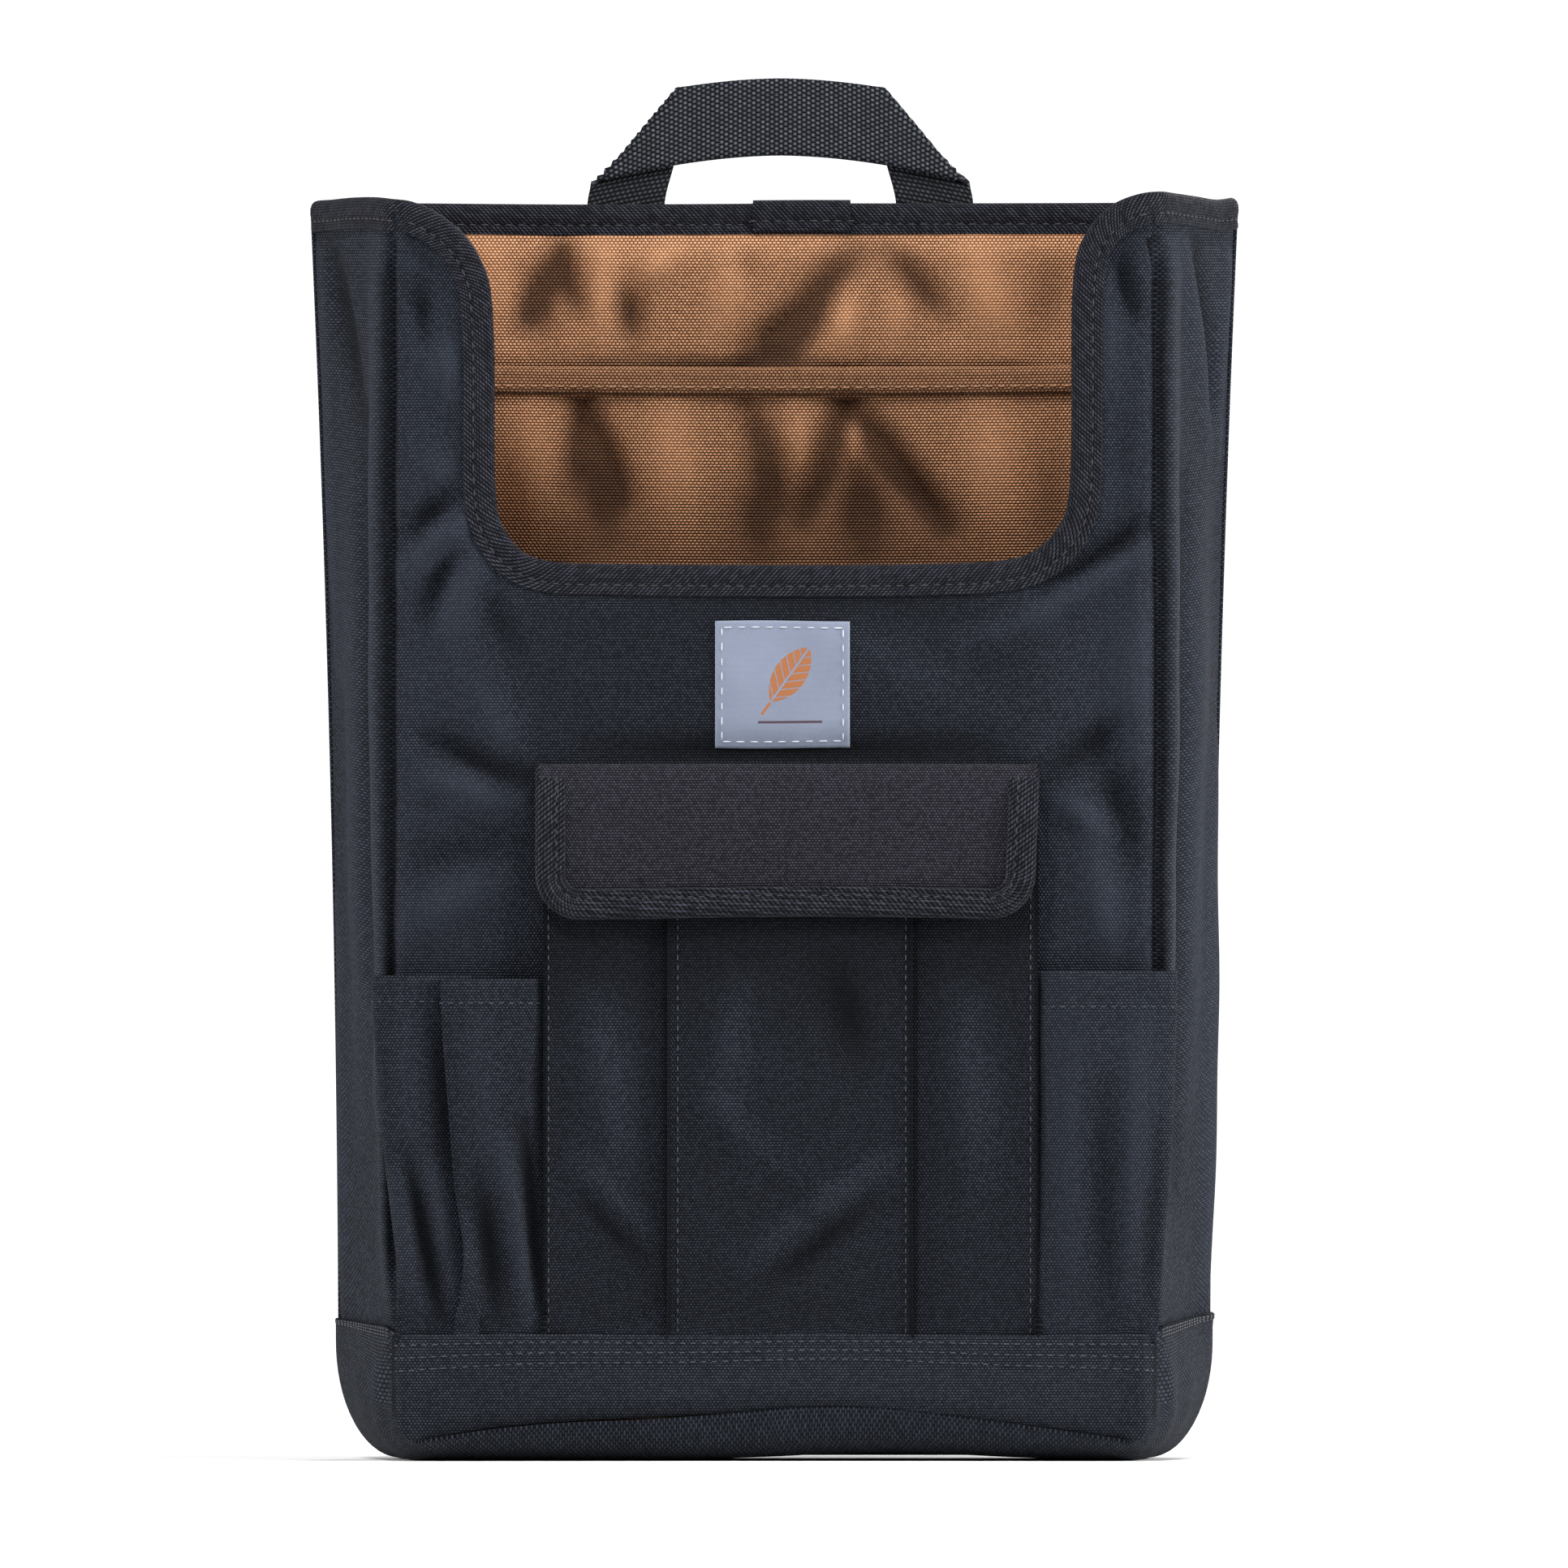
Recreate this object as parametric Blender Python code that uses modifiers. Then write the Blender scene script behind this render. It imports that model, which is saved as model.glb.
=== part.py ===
# Garden tool bag: an upright cloth tote with a low front mouth, lined inside, with a flapped cargo
# pocket, slip pockets, a reinforced foot band and a webbing carry handle.
# Metres, +Z up. The front faces -Y. The origin is under the middle of the whole bag, at the floor.

import math

import bmesh
import bpy
from mathutils import Vector

MM = 0.001

# Cloth and clearances
FABRIC = 1.2 * MM
LINING = 0.8 * MM
BOARD = 2.0 * MM
WEBBING = 2.0 * MM
BINDING = 0.8 * MM
TAPE = 1.0 * MM
LABEL_THICKNESS = 0.6 * MM
GAP = 0.3 * MM

# Body
BODY_HEIGHT = 411 * MM
BODY_DEPTH = 80 * MM
BACK_TOP_WIDTH = 302 * MM
BACK_FOOT_WIDTH = 286 * MM
FRONT_WIDTH = 249 * MM
BACK_CORNER = 24 * MM
FRONT_CORNER = 10 * MM
FRONT_RISE = 13 * MM
SLOPED_BASE = 20 * MM
BAND_HEIGHT = 42 * MM

# Mouth cut out of the front panel
ARM_WIDTH = 30.5 * MM
MOUTH_DEPTH = 118 * MM
MOUTH_SHIFT = 2.8 * MM
MOUTH_FOOT_CORNER = 21 * MM
MOUTH_TOP_CORNER = 24 * MM
BINDING_WIDTH = 10 * MM
LAP_LENGTH = 33 * MM
LAP_SHIFT = 9 * MM

# Handle
HANDLE_WIDTH = 126 * MM
HANDLE_HEIGHT = 41 * MM
HANDLE_SHIFT = 1.9 * MM
WEBBING_WIDTH = 26 * MM
ANCHOR_LENGTH = 62 * MM

# Pockets on the front
CARGO_WIDTH = 161 * MM
CARGO_SHIFT = 5.5 * MM
CARGO_TOP = 205 * MM
CARGO_REACH = 7 * MM
CARGO_FOOT_REACH = 4 * MM
SLIP_REACH = 13 * MM
SLIP_FOOT_REACH = 5 * MM
SLIP_TOP = 159 * MM
SLIP_OVERHANG = 6 * MM
SLIP_OUTER_WIDTH = 23 * MM

# Flap over the cargo pocket
FLAP_WIDTH = 167 * MM
FLAP_SHIFT = 4.4 * MM
FLAP_TOP = 227 * MM
FLAP_LENGTH = 51 * MM
FLAP_CORNER = 15 * MM
FLAP_RUNOUT = 17 * MM
FLAP_SEAM_HEIGHT = 9 * MM
CLOSURE_WIDTH = 60 * MM
CLOSURE_HEIGHT = 16 * MM
CLOSURE_MARGIN = 13 * MM

# Pocket inside, on the back lining
INNER_POCKET_WIDTH = 270 * MM
INNER_POCKET_TOP = 358 * MM
INNER_POCKET_FOOT = 215 * MM
INNER_POCKET_REACH = 7.5 * MM

# Label
LABEL_WIDTH = 44 * MM
LABEL_HEIGHT = 41.5 * MM
LABEL_MIDDLE = 253.5 * MM
LABEL_SHIFT = 2.7 * MM

# Steps of the curved surfaces
SIDE_STEPS = 6
ARC_STEPS = 6
SLOPE_STEPS = 5
DEPTH_STEPS = 3
FLAP_STEPS = 8
POCKET_STEPS = 14
FACE_FLATNESS = 0.3  # powers of a pocket's rounded plan: 1 is a half ellipse and 0 a box
SIDE_FLATNESS = 0.5
BULGE_SHARE = 0.45  # a pocket with a foot inset is at its full width from this share of its reach

# Worked out from the sizes above
WALL = FABRIC + GAP + LINING
BOOT = GAP + FABRIC
BINDING_PROUD = GAP + BINDING
BACK_REACH = BINDING_PROUD + GAP + WEBBING
TOTAL_DEPTH = SLIP_REACH + BODY_DEPTH + BACK_REACH
FRONT_Y = SLIP_REACH - TOTAL_DEPTH / 2
BACK_Y = TOTAL_DEPTH / 2 - BACK_REACH
EDGE_HEIGHT = BODY_HEIGHT - BINDING_PROUD
HANDLE_Y = BACK_Y + BINDING_PROUD + GAP + WEBBING / 2
HANDLE_AXIS_Z = BODY_HEIGHT + WEBBING / 2 + GAP
TAPES = 2 * (GAP + TAPE)
FLAP_HINGE_Y = FRONT_Y - BOOT - GAP - BINDING_PROUD - FABRIC / 2
FLAP_FACE_Y = FRONT_Y - CARGO_REACH - TAPES - GAP - FABRIC / 2
SLOPE_START_Y = FRONT_Y + SLOPED_BASE

COLOURS = {
    "shell_fabric": ((0.022, 0.027, 0.038, 1), 0.9, 0.0),
    "band_fabric": ((0.026, 0.031, 0.042, 1), 0.85, 0.0),
    "lining_fabric": ((0.42, 0.20, 0.10, 1), 0.9, 0.0),
    "binding_tape": ((0.017, 0.019, 0.028, 1), 0.85, 0.0),
    "webbing": ((0.016, 0.018, 0.026, 1), 0.8, 0.0),
    "closure_tape": ((0.012, 0.012, 0.014, 1), 0.95, 0.0),
    "label_cloth": ((0.32, 0.37, 0.47, 1), 0.8, 0.0),
    "board": ((0.30, 0.22, 0.14, 1), 0.9, 0.0),
}


def clear_scene():
    for old in list(bpy.data.objects):
        bpy.data.objects.remove(old)


def new_collection(name):
    collection = bpy.data.collections.new(name)
    bpy.context.scene.collection.children.link(collection)
    return collection


def material_for(node, finish):
    colour, roughness, metallic = COLOURS[finish]
    material = bpy.data.materials.new(node + "_" + finish)
    material.use_nodes = True
    shader = material.node_tree.nodes["Principled BSDF"]
    shader.inputs["Base Color"].default_value = colour
    shader.inputs["Roughness"].default_value = roughness
    shader.inputs["Metallic"].default_value = metallic
    return material


def mix(a, b, share):
    return a + (b - a) * share


def smooth(share):
    share = min(max(share, 0.0), 1.0)
    return share * share * (3 - 2 * share)


# ---------------------------------------------------------------- shape of the body

def depth_share(y):
    return (y - FRONT_Y) / BODY_DEPTH


def half_width(y, z):
    """Half the body's width at a depth and a height: straight at the front, flared at the back."""
    foot = mix(FRONT_WIDTH, BACK_FOOT_WIDTH, depth_share(y)) / 2
    top = mix(FRONT_WIDTH, BACK_TOP_WIDTH, depth_share(y)) / 2
    return mix(foot, top, (z / BODY_HEIGHT) ** 2)


def base_height(y):
    """The underside is flat at the back and lifts towards the front edge."""
    share = max(0.0, (SLOPE_START_Y - y) / SLOPED_BASE)
    return FRONT_RISE * share * share


def corner_radius(y):
    return mix(FRONT_CORNER, BACK_CORNER, depth_share(y))


def body_outline(y, inset, top):
    """Left side of the body's outline at a depth, from the top down to the middle of the base."""
    foot = base_height(y) + BOOT + inset
    radius = max(corner_radius(y) - inset, MM)
    centre_x = -(half_width(y, foot + radius) - inset) + radius
    points = []
    for step in range(SIDE_STEPS):
        z = mix(top, foot + radius, step / SIDE_STEPS)
        points.append((-(half_width(y, z) - inset), z))
    for step in range(ARC_STEPS + 1):
        angle = math.pi * (1 + 0.5 * step / ARC_STEPS)
        points.append((centre_x + radius * math.cos(angle), foot + radius + radius * math.sin(angle)))
    return points


def gusset_strip(y, inset, top):
    """The outline from the top to half-way round the foot corner."""
    foot = base_height(y) + BOOT + inset
    radius = max(corner_radius(y) - inset, MM)
    centre_x = -(half_width(y, foot + radius) - inset) + radius
    last = math.pi / 4 - GAP / 2 / radius
    points = []
    for step in range(SIDE_STEPS):
        z = mix(top, foot + radius, step / SIDE_STEPS)
        points.append((-(half_width(y, z) - inset), z))
    for step in range(ARC_STEPS + 1):
        angle = math.pi + last * step / ARC_STEPS
        points.append((centre_x + radius * math.cos(angle), foot + radius + radius * math.sin(angle)))
    return points


def base_strip(y, inset):
    """The outline's foot, from half-way round the left corner to half-way round the right."""
    foot = base_height(y) + BOOT + inset
    radius = max(corner_radius(y) - inset, MM)
    centre_x = -(half_width(y, foot + radius) - inset) + radius
    first = math.pi / 4 + GAP / 2 / radius
    left = []
    for step in range(ARC_STEPS + 1):
        angle = math.pi + mix(first, math.pi / 2, step / ARC_STEPS)
        left.append((centre_x + radius * math.cos(angle), foot + radius + radius * math.sin(angle)))
    return left + [(-x, z) for x, z in reversed(left)]


# ---------------------------------------------------------------- ways of making a solid

def finish_object(obj, collection, finish):
    obj.data.materials.append(material_for(obj.name, finish))
    collection.objects.link(obj)
    return obj


def mesh_object(name, build, collection, finish, closed=True):
    mesh = bpy.data.meshes.new(name)
    shape = bmesh.new()
    build(shape)
    if closed:
        bmesh.ops.recalc_face_normals(shape, faces=shape.faces)
    shape.to_mesh(mesh)
    shape.free()
    mesh.shade_smooth()
    mesh.set_sharp_from_angle(angle=math.radians(35))
    return finish_object(bpy.data.objects.new(name, mesh), collection, finish)


def loft_layer(name, outer, inner, collection, finish):
    """A cloth layer between two surfaces, each given as rows of points in the same order."""

    def build(shape):
        sides = [[[shape.verts.new(point) for point in row] for row in surface] for surface in (outer, inner)]
        rows, columns = len(outer), len(outer[0])
        for side in sides:
            for r in range(rows - 1):
                for c in range(columns - 1):
                    shape.faces.new((side[r][c], side[r][c + 1], side[r + 1][c + 1], side[r + 1][c]))
        rim = [(0, c) for c in range(columns)] + [(r, columns - 1) for r in range(1, rows)]
        rim += [(rows - 1, c) for c in range(columns - 2, -1, -1)] + [(r, 0) for r in range(rows - 2, 0, -1)]
        for here, there in zip(rim, rim[1:] + rim[:1]):
            shape.faces.new(
                (
                    sides[0][here[0]][here[1]],
                    sides[0][there[0]][there[1]],
                    sides[1][there[0]][there[1]],
                    sides[1][here[0]][here[1]],
                )
            )

    return mesh_object(name, build, collection, finish)


def open_sheet(name, rows, thickness, side, collection, finish):
    """A cloth sheet through rows of points from left to right, going down, as seen from the front.

    It is thickened forwards if side is 1, and both ways if side is 0.
    """

    def build(shape):
        grid = [[shape.verts.new(point) for point in row] for row in rows]
        for upper, lower in zip(grid, grid[1:]):
            for c in range(len(upper) - 1):
                shape.faces.new((upper[c], lower[c], lower[c + 1], upper[c + 1]))

    obj = mesh_object(name, build, collection, finish, closed=False)
    wall = obj.modifiers.new("wall", "SOLIDIFY")
    wall.thickness = thickness
    wall.offset = side
    return obj


def sweep(name, path, inward, across, profile, collection, finish):
    """A closed profile carried along a path. inward and across are its two directions at each point."""

    def build(shape):
        rings = []
        for point, a, b in zip(path, inward, across):
            rings.append([shape.verts.new(point + a * u + b * v) for u, v in profile])
        for ring, following in zip(rings, rings[1:]):
            for i in range(len(profile)):
                j = (i + 1) % len(profile)
                shape.faces.new((ring[i], ring[j], following[j], following[i]))
        shape.faces.new(rings[0])
        shape.faces.new(rings[-1])

    return mesh_object(name, build, collection, finish)


def flat_plate(name, outline, front, back, collection, finish):
    """A flat upright piece cut to an outline of (x, z) points, between two depths."""
    curve = bpy.data.curves.new(name, "CURVE")
    curve.dimensions = "2D"
    curve.fill_mode = "BOTH"
    curve.extrude = (back - front) / 2
    spline = curve.splines.new("POLY")
    spline.points.add(len(outline) - 1)
    for point, (x, z) in zip(spline.points, outline):
        point.co = (x, z, 0, 1)
    spline.use_cyclic_u = True
    obj = bpy.data.objects.new(name, curve)
    obj.location = (0, (front + back) / 2, 0)
    obj.rotation_euler = (math.pi / 2, 0, 0)
    return finish_object(obj, collection, finish)


def channel(cloth, width):
    """Folded tape round a cloth edge of that thickness: u runs over the cloth, v across it."""
    inner = cloth / 2 + GAP
    outer = inner + BINDING
    return [
        (-BINDING_PROUD, -outer),
        (width - BINDING_PROUD, -outer),
        (width - BINDING_PROUD, -inner),
        (-GAP, -inner),
        (-GAP, inner),
        (width - BINDING_PROUD, inner),
        (width - BINDING_PROUD, outer),
        (-BINDING_PROUD, outer),
    ]


def inward_normals(path, turn):
    """The direction square to a path in the upright plane, to the side that turn (1 or -1) says."""
    found = []
    for i in range(len(path)):
        along = path[min(i + 1, len(path) - 1)] - path[max(i - 1, 0)]
        found.append(Vector((-along.z, 0, along.x)).normalized() * turn)
    return found


def arc(centre_x, centre_z, radius, start, end):
    points = []
    for step in range(ARC_STEPS + 1):
        angle = math.radians(mix(start, end, step / ARC_STEPS))
        points.append((centre_x + radius * math.cos(angle), centre_z + radius * math.sin(angle)))
    return points


# ---------------------------------------------------------------- shell and lining

def mouth_edge():
    """The cut edge of the front mouth, from the left flare round the foot to the right flare."""
    half = FRONT_WIDTH / 2 - ARM_WIDTH + BINDING_PROUD
    foot = BODY_HEIGHT - MOUTH_DEPTH - BINDING_PROUD
    room = ARM_WIDTH - MOUTH_SHIFT - BINDING_PROUD - WALL - GAP
    flare = min(MOUTH_TOP_CORNER, room)
    left = arc(-half - flare, EDGE_HEIGHT - flare, flare, 90, 0)
    left += arc(-half + MOUTH_FOOT_CORNER, foot + MOUTH_FOOT_CORNER, MOUTH_FOOT_CORNER, 180, 270)
    right = [(-x, z) for x, z in reversed(left)]
    return [(x + MOUTH_SHIFT, z) for x, z in left + right]


def front_outline(y, inset):
    """The U-shaped outline of a front layer."""
    left = body_outline(y, inset, EDGE_HEIGHT)
    right = [(-x, z) for x, z in reversed(left)]
    return left + right + list(reversed(mouth_edge()))


def back_outline(y, inset):
    left = body_outline(y, inset, EDGE_HEIGHT)
    return left + [(-x, z) for x, z in reversed(left)]


def depth_rows(front, back, strip):
    """Rows from front to back. Every layer has the same stations, so the layers stay parallel."""
    stations = [FRONT_Y + SLOPED_BASE * step / SLOPE_STEPS for step in range(SLOPE_STEPS + 1)]
    stations += [mix(SLOPE_START_Y, BACK_Y, step / DEPTH_STEPS) for step in range(1, DEPTH_STEPS + 1)]
    depths = [front] + [y for y in stations if front + GAP < y < back - GAP] + [back]
    return [[(x, y, z) for x, z in strip(y)] for y in depths]


def mirrored(rows):
    return [[(-x, y, z) for x, y, z in row] for row in rows]


def add_gusset(name, inset, thickness, front, back, top, right, collection, finish):
    outer = depth_rows(front, back, lambda y: gusset_strip(y, inset, top))
    inner = depth_rows(front, back, lambda y: gusset_strip(y, inset + thickness, top))
    if right:
        outer, inner = mirrored(outer), mirrored(inner)
    return loft_layer(name, outer, inner, collection, finish)


def add_base(name, inset, thickness, front, back, collection, finish):
    outer = depth_rows(front, back, lambda y: base_strip(y, inset))
    inner = depth_rows(front, back, lambda y: base_strip(y, inset + thickness))
    return loft_layer(name, outer, inner, collection, finish)


def build_shell(parts):
    flat_plate("front_panel", front_outline(FRONT_Y, 0), FRONT_Y, FRONT_Y + FABRIC, parts, "shell_fabric")
    back_edge = back_outline(BACK_Y - FABRIC, 0)
    flat_plate("back_panel", back_edge, BACK_Y - FABRIC, BACK_Y, parts, "shell_fabric")
    front = FRONT_Y + FABRIC + GAP
    back = BACK_Y - FABRIC - GAP
    add_gusset("left_gusset", 0, FABRIC, front, back, EDGE_HEIGHT, False, parts, "shell_fabric")
    add_gusset("right_gusset", 0, FABRIC, front, back, EDGE_HEIGHT, True, parts, "shell_fabric")
    add_base("base_panel", 0, FABRIC, front, back, parts, "shell_fabric")


def build_lining(parts):
    inset = FABRIC + GAP
    front = FRONT_Y + inset
    back = BACK_Y - inset
    flat_plate("front_lining", front_outline(FRONT_Y, inset), front, front + LINING, parts, "lining_fabric")
    flat_plate("back_lining", back_outline(BACK_Y - WALL, inset), back - LINING, back, parts, "lining_fabric")
    front += LINING + GAP
    back -= LINING + GAP
    add_gusset("left_gusset_lining", inset, LINING, front, back, EDGE_HEIGHT, False, parts, "lining_fabric")
    add_gusset("right_gusset_lining", inset, LINING, front, back, EDGE_HEIGHT, True, parts, "lining_fabric")
    add_base("base_lining", inset + BOARD + GAP, LINING, front, back, parts, "lining_fabric")


def build_base_board(parts):
    """A stiff board on the flat part of the base, under the lining."""
    low_y = SLOPE_START_Y + GAP
    high_y = BACK_Y - WALL - GAP
    half = min(half_width(y, 0) - corner_radius(y) for y in (low_y, high_y)) - GAP
    low_z = BOOT + FABRIC + GAP

    def build(shape):
        bmesh.ops.create_cube(shape, size=1)
        bmesh.ops.scale(shape, vec=(2 * half, high_y - low_y, BOARD), verts=shape.verts)
        middle = Vector((0, (low_y + high_y) / 2, low_z + BOARD / 2))
        bmesh.ops.translate(shape, vec=middle, verts=shape.verts)
        upright = [e for e in shape.edges if abs(e.verts[0].co.z - e.verts[1].co.z) > BOARD / 2]
        bmesh.ops.bevel(shape, geom=upright, offset=BOARD * 3, segments=4, affect="EDGES", profile=0.5)

    mesh_object("base_board", build, parts, "board")


def build_foot_band(parts):
    """The reinforcing band round the foot, wrapping under the base."""
    for name, y, front in (
        ("foot_band_front", FRONT_Y, FRONT_Y - BOOT),
        ("foot_band_back", BACK_Y, BACK_Y + GAP),
    ):
        left = [(x, z) for x, z in body_outline(y, 0, BAND_HEIGHT)]
        outline = left + [(-x, z) for x, z in reversed(left)]
        flat_plate(name, outline, front, front + FABRIC, parts, "band_fabric")
    add_gusset("foot_band_left", -BOOT, FABRIC, FRONT_Y, BACK_Y, BAND_HEIGHT, False, parts, "band_fabric")
    add_gusset("foot_band_right", -BOOT, FABRIC, FRONT_Y, BACK_Y, BAND_HEIGHT, True, parts, "band_fabric")
    add_base("foot_band_base", -BOOT, FABRIC, FRONT_Y, BACK_Y, parts, "band_fabric")


# ---------------------------------------------------------------- rim binding

def build_rim_binding(parts):
    profile = channel(WALL, BINDING_WIDTH)
    half = WALL / 2
    side_clear = WALL + GAP
    edge = mouth_edge()
    limit = FRONT_WIDTH / 2 - side_clear
    ends = [(-limit, EDGE_HEIGHT), (limit, EDGE_HEIGHT)]
    run = [ends[0]] + [point for point in edge if abs(point[0]) < limit] + [ends[1]]
    path = [Vector((x, FRONT_Y + half, z)) for x, z in run]
    across = [Vector((0, 1, 0))] * len(path)
    sweep("rim_binding_front", path, inward_normals(path, -1), across, profile, parts, "binding_tape")

    limit = half_width(BACK_Y - WALL - BINDING_PROUD, BODY_HEIGHT) - side_clear - GAP
    path = [Vector((x, BACK_Y - half, EDGE_HEIGHT)) for x in (-limit, limit)]
    down = [Vector((0, 0, -1))] * 2
    sweep("rim_binding_back", path, down, [Vector((0, 1, 0))] * 2, profile, parts, "binding_tape")

    end_clear = WALL + BINDING_PROUD + GAP
    front, back = FRONT_Y + end_clear, BACK_Y - end_clear
    for name, side in (("rim_binding_left", -1), ("rim_binding_right", 1)):
        path = []
        lean = []
        for y in (front, back):
            edge_x = half_width(y, EDGE_HEIGHT)
            drop_x = half_width(y, EDGE_HEIGHT - BINDING_WIDTH)
            path.append(Vector((side * (edge_x - half), y, EDGE_HEIGHT)))
            lean.append(Vector((side * (drop_x - edge_x) / BINDING_WIDTH, 0, -1)))
        sweep(name, path, lean, [Vector((1, 0, 0))] * 2, profile, parts, "binding_tape")


def build_binding_lap(parts):
    """The short lap where the two ends of the rim tape meet, in front of the back rim."""
    x0 = LAP_SHIFT - LAP_LENGTH / 2
    x1 = LAP_SHIFT + LAP_LENGTH / 2
    back = BACK_Y - WALL - BINDING_PROUD - GAP
    low = BODY_HEIGHT - BINDING_WIDTH
    outline = [(x0, low), (x1, low), (x1, BODY_HEIGHT), (x0, BODY_HEIGHT)]
    flat_plate("rim_binding_lap", outline, back - BINDING, back, parts, "binding_tape")


# ---------------------------------------------------------------- handle

def build_handle(parts, cutters):
    """Webbing folded at 45 degrees at both corners: the legs lie behind, the grip lies in front."""
    left = -HANDLE_WIDTH / 2 + HANDLE_SHIFT
    right = HANDLE_WIDTH / 2 + HANDLE_SHIFT
    top = BODY_HEIGHT + HANDLE_HEIGHT
    low = top - WEBBING_WIDTH
    bite = WEBBING / 20
    grip = [(left, low), (right, low), (right - WEBBING_WIDTH, top), (left + WEBBING_WIDTH, top)]
    pieces = [("handle_loop", grip, HANDLE_Y - WEBBING - WEBBING / 2, HANDLE_Y - WEBBING / 2)]
    for name, outer, inner in (
        ("left_leg", left, left + WEBBING_WIDTH),
        ("right_leg", right, right - WEBBING_WIDTH),
    ):
        leg = [(outer, HANDLE_AXIS_Z), (inner, HANDLE_AXIS_Z), (inner, top), (outer, low)]
        pieces.append((name, leg, HANDLE_Y - WEBBING / 2 - bite, HANDLE_Y + WEBBING / 2))
    made = []
    for name, outline, front, back in pieces:
        home = parts if name == "handle_loop" else cutters
        plate = flat_plate(name + "_outline", outline, front, back, home, "webbing")
        bpy.context.view_layer.update()
        graph = bpy.context.evaluated_depsgraph_get()
        mesh = bpy.data.meshes.new_from_object(plate.evaluated_get(graph))
        mesh.name = name
        shape = bmesh.new()
        shape.from_mesh(mesh)
        bmesh.ops.remove_doubles(shape, verts=shape.verts, dist=0.01 * MM)
        bmesh.ops.recalc_face_normals(shape, faces=shape.faces)
        shape.to_mesh(mesh)
        shape.free()
        solid = bpy.data.objects.new(name, mesh)
        solid.matrix_world = plate.matrix_world
        home.objects.link(solid)
        bpy.data.objects.remove(plate)
        made.append(solid)
    loop = made[0]
    for leg in made[1:]:
        leg.hide_render = True
        leg.display_type = "WIRE"
        union = loop.modifiers.new(leg.name, "BOOLEAN")
        union.operation = "UNION"
        union.object = leg

    anchor_top = HANDLE_AXIS_Z - WEBBING / 2 - GAP
    foot = anchor_top - ANCHOR_LENGTH
    front, back = HANDLE_Y - WEBBING / 2, HANDLE_Y + WEBBING / 2
    for name, outer, inner in (
        ("handle_anchor_left", left, left + WEBBING_WIDTH),
        ("handle_anchor_right", right - WEBBING_WIDTH, right),
    ):
        outline = [(outer, foot), (inner, foot), (inner, anchor_top), (outer, anchor_top)]
        flat_plate(name, outline, front, back, parts, "webbing")


# ---------------------------------------------------------------- pockets

def pocket_row(z, x0, x1, foot_y, reach, cloth, foot_inset_left=0.0, foot_inset_right=0.0):
    """One level of a pocket's inner side: out from the wall, across and back, with rounded shoulders.

    x0, x1 and reach are the outer sizes. A foot inset brings a side in where it meets the wall.
    """
    middle, half = (x0 + x1) / 2, (x1 - x0) / 2 - cloth
    reach -= cloth
    row = []
    for step in range(POCKET_STEPS + 1):
        angle = math.pi * (1 - step / POCKET_STEPS)
        out = math.sin(angle) ** FACE_FLATNESS if 0 < step < POCKET_STEPS else 0.0
        side = math.copysign(abs(math.cos(angle)) ** SIDE_FLATNESS, math.cos(angle))
        x = middle + half * side
        x += max(0.0, 1 - out / BULGE_SHARE) * (foot_inset_left if side < 0 else -foot_inset_right)
        row.append((x, foot_y - reach * out, z))
    return row


def slip_pocket(name, x0, x1, overhang_left, overhang_right, parts):
    """A slip pocket on the front: full at its mouth, drawn in towards the foot band."""
    levels = 7
    foot = BAND_HEIGHT + GAP + FABRIC
    foot_y = FRONT_Y - GAP - FABRIC
    rows = []
    for level in range(levels + 1):
        share = level / levels
        z = mix(SLIP_TOP, foot, share)
        reach = mix(SLIP_REACH, SLIP_FOOT_REACH, smooth(share)) - GAP - FABRIC
        left = x0 + overhang_left * smooth(share)
        right = x1 - overhang_right * smooth(share)
        still_left = overhang_left * (1 - smooth(share)) + GAP
        still_right = overhang_right * (1 - smooth(share)) + GAP
        rows.append(pocket_row(z, left, right, foot_y, reach, FABRIC, still_left, still_right))
    open_sheet(name, rows, FABRIC, 1, parts, "shell_fabric")


def build_slip_pockets(parts):
    cargo_left = CARGO_SHIFT - CARGO_WIDTH / 2
    cargo_right = CARGO_SHIFT + CARGO_WIDTH / 2
    edge = FRONT_WIDTH / 2
    split = -edge - SLIP_OVERHANG + SLIP_OUTER_WIDTH
    slip_pocket("slip_pocket_left_outer", -edge - SLIP_OVERHANG, split - GAP, SLIP_OVERHANG, 0, parts)
    slip_pocket("slip_pocket_left_inner", split, cargo_left - 2 * GAP, 0, 0, parts)
    slip_pocket("slip_pocket_right", cargo_right + 2 * GAP, edge + SLIP_OVERHANG, 0, SLIP_OVERHANG, parts)


def build_cargo_pocket(parts):
    levels = 6
    x0 = CARGO_SHIFT - CARGO_WIDTH / 2
    x1 = CARGO_SHIFT + CARGO_WIDTH / 2
    foot = BAND_HEIGHT + GAP + FABRIC
    rows = []
    for level in range(levels + 1):
        share = level / levels
        z = mix(CARGO_TOP, foot, share)
        reach = mix(CARGO_REACH, CARGO_FOOT_REACH, smooth(2 * share - 1)) - GAP
        rows.append(pocket_row(z, x0, x1, FRONT_Y - GAP, reach, FABRIC))
    open_sheet("cargo_pocket", rows, FABRIC, 1, parts, "shell_fabric")


def build_inner_pocket(parts):
    levels = 6
    half = INNER_POCKET_WIDTH / 2
    rows = []
    for level in range(levels + 1):
        share = level / levels
        z = mix(INNER_POCKET_TOP, INNER_POCKET_FOOT, share)
        reach = mix(INNER_POCKET_REACH, 2 * LINING, smooth(2 * share - 1))
        rows.append(pocket_row(z, -half, half, BACK_Y - WALL - 2 * GAP, reach, LINING))
    open_sheet("inner_pocket", rows, LINING, 1, parts, "lining_fabric")


# ---------------------------------------------------------------- flap

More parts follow.
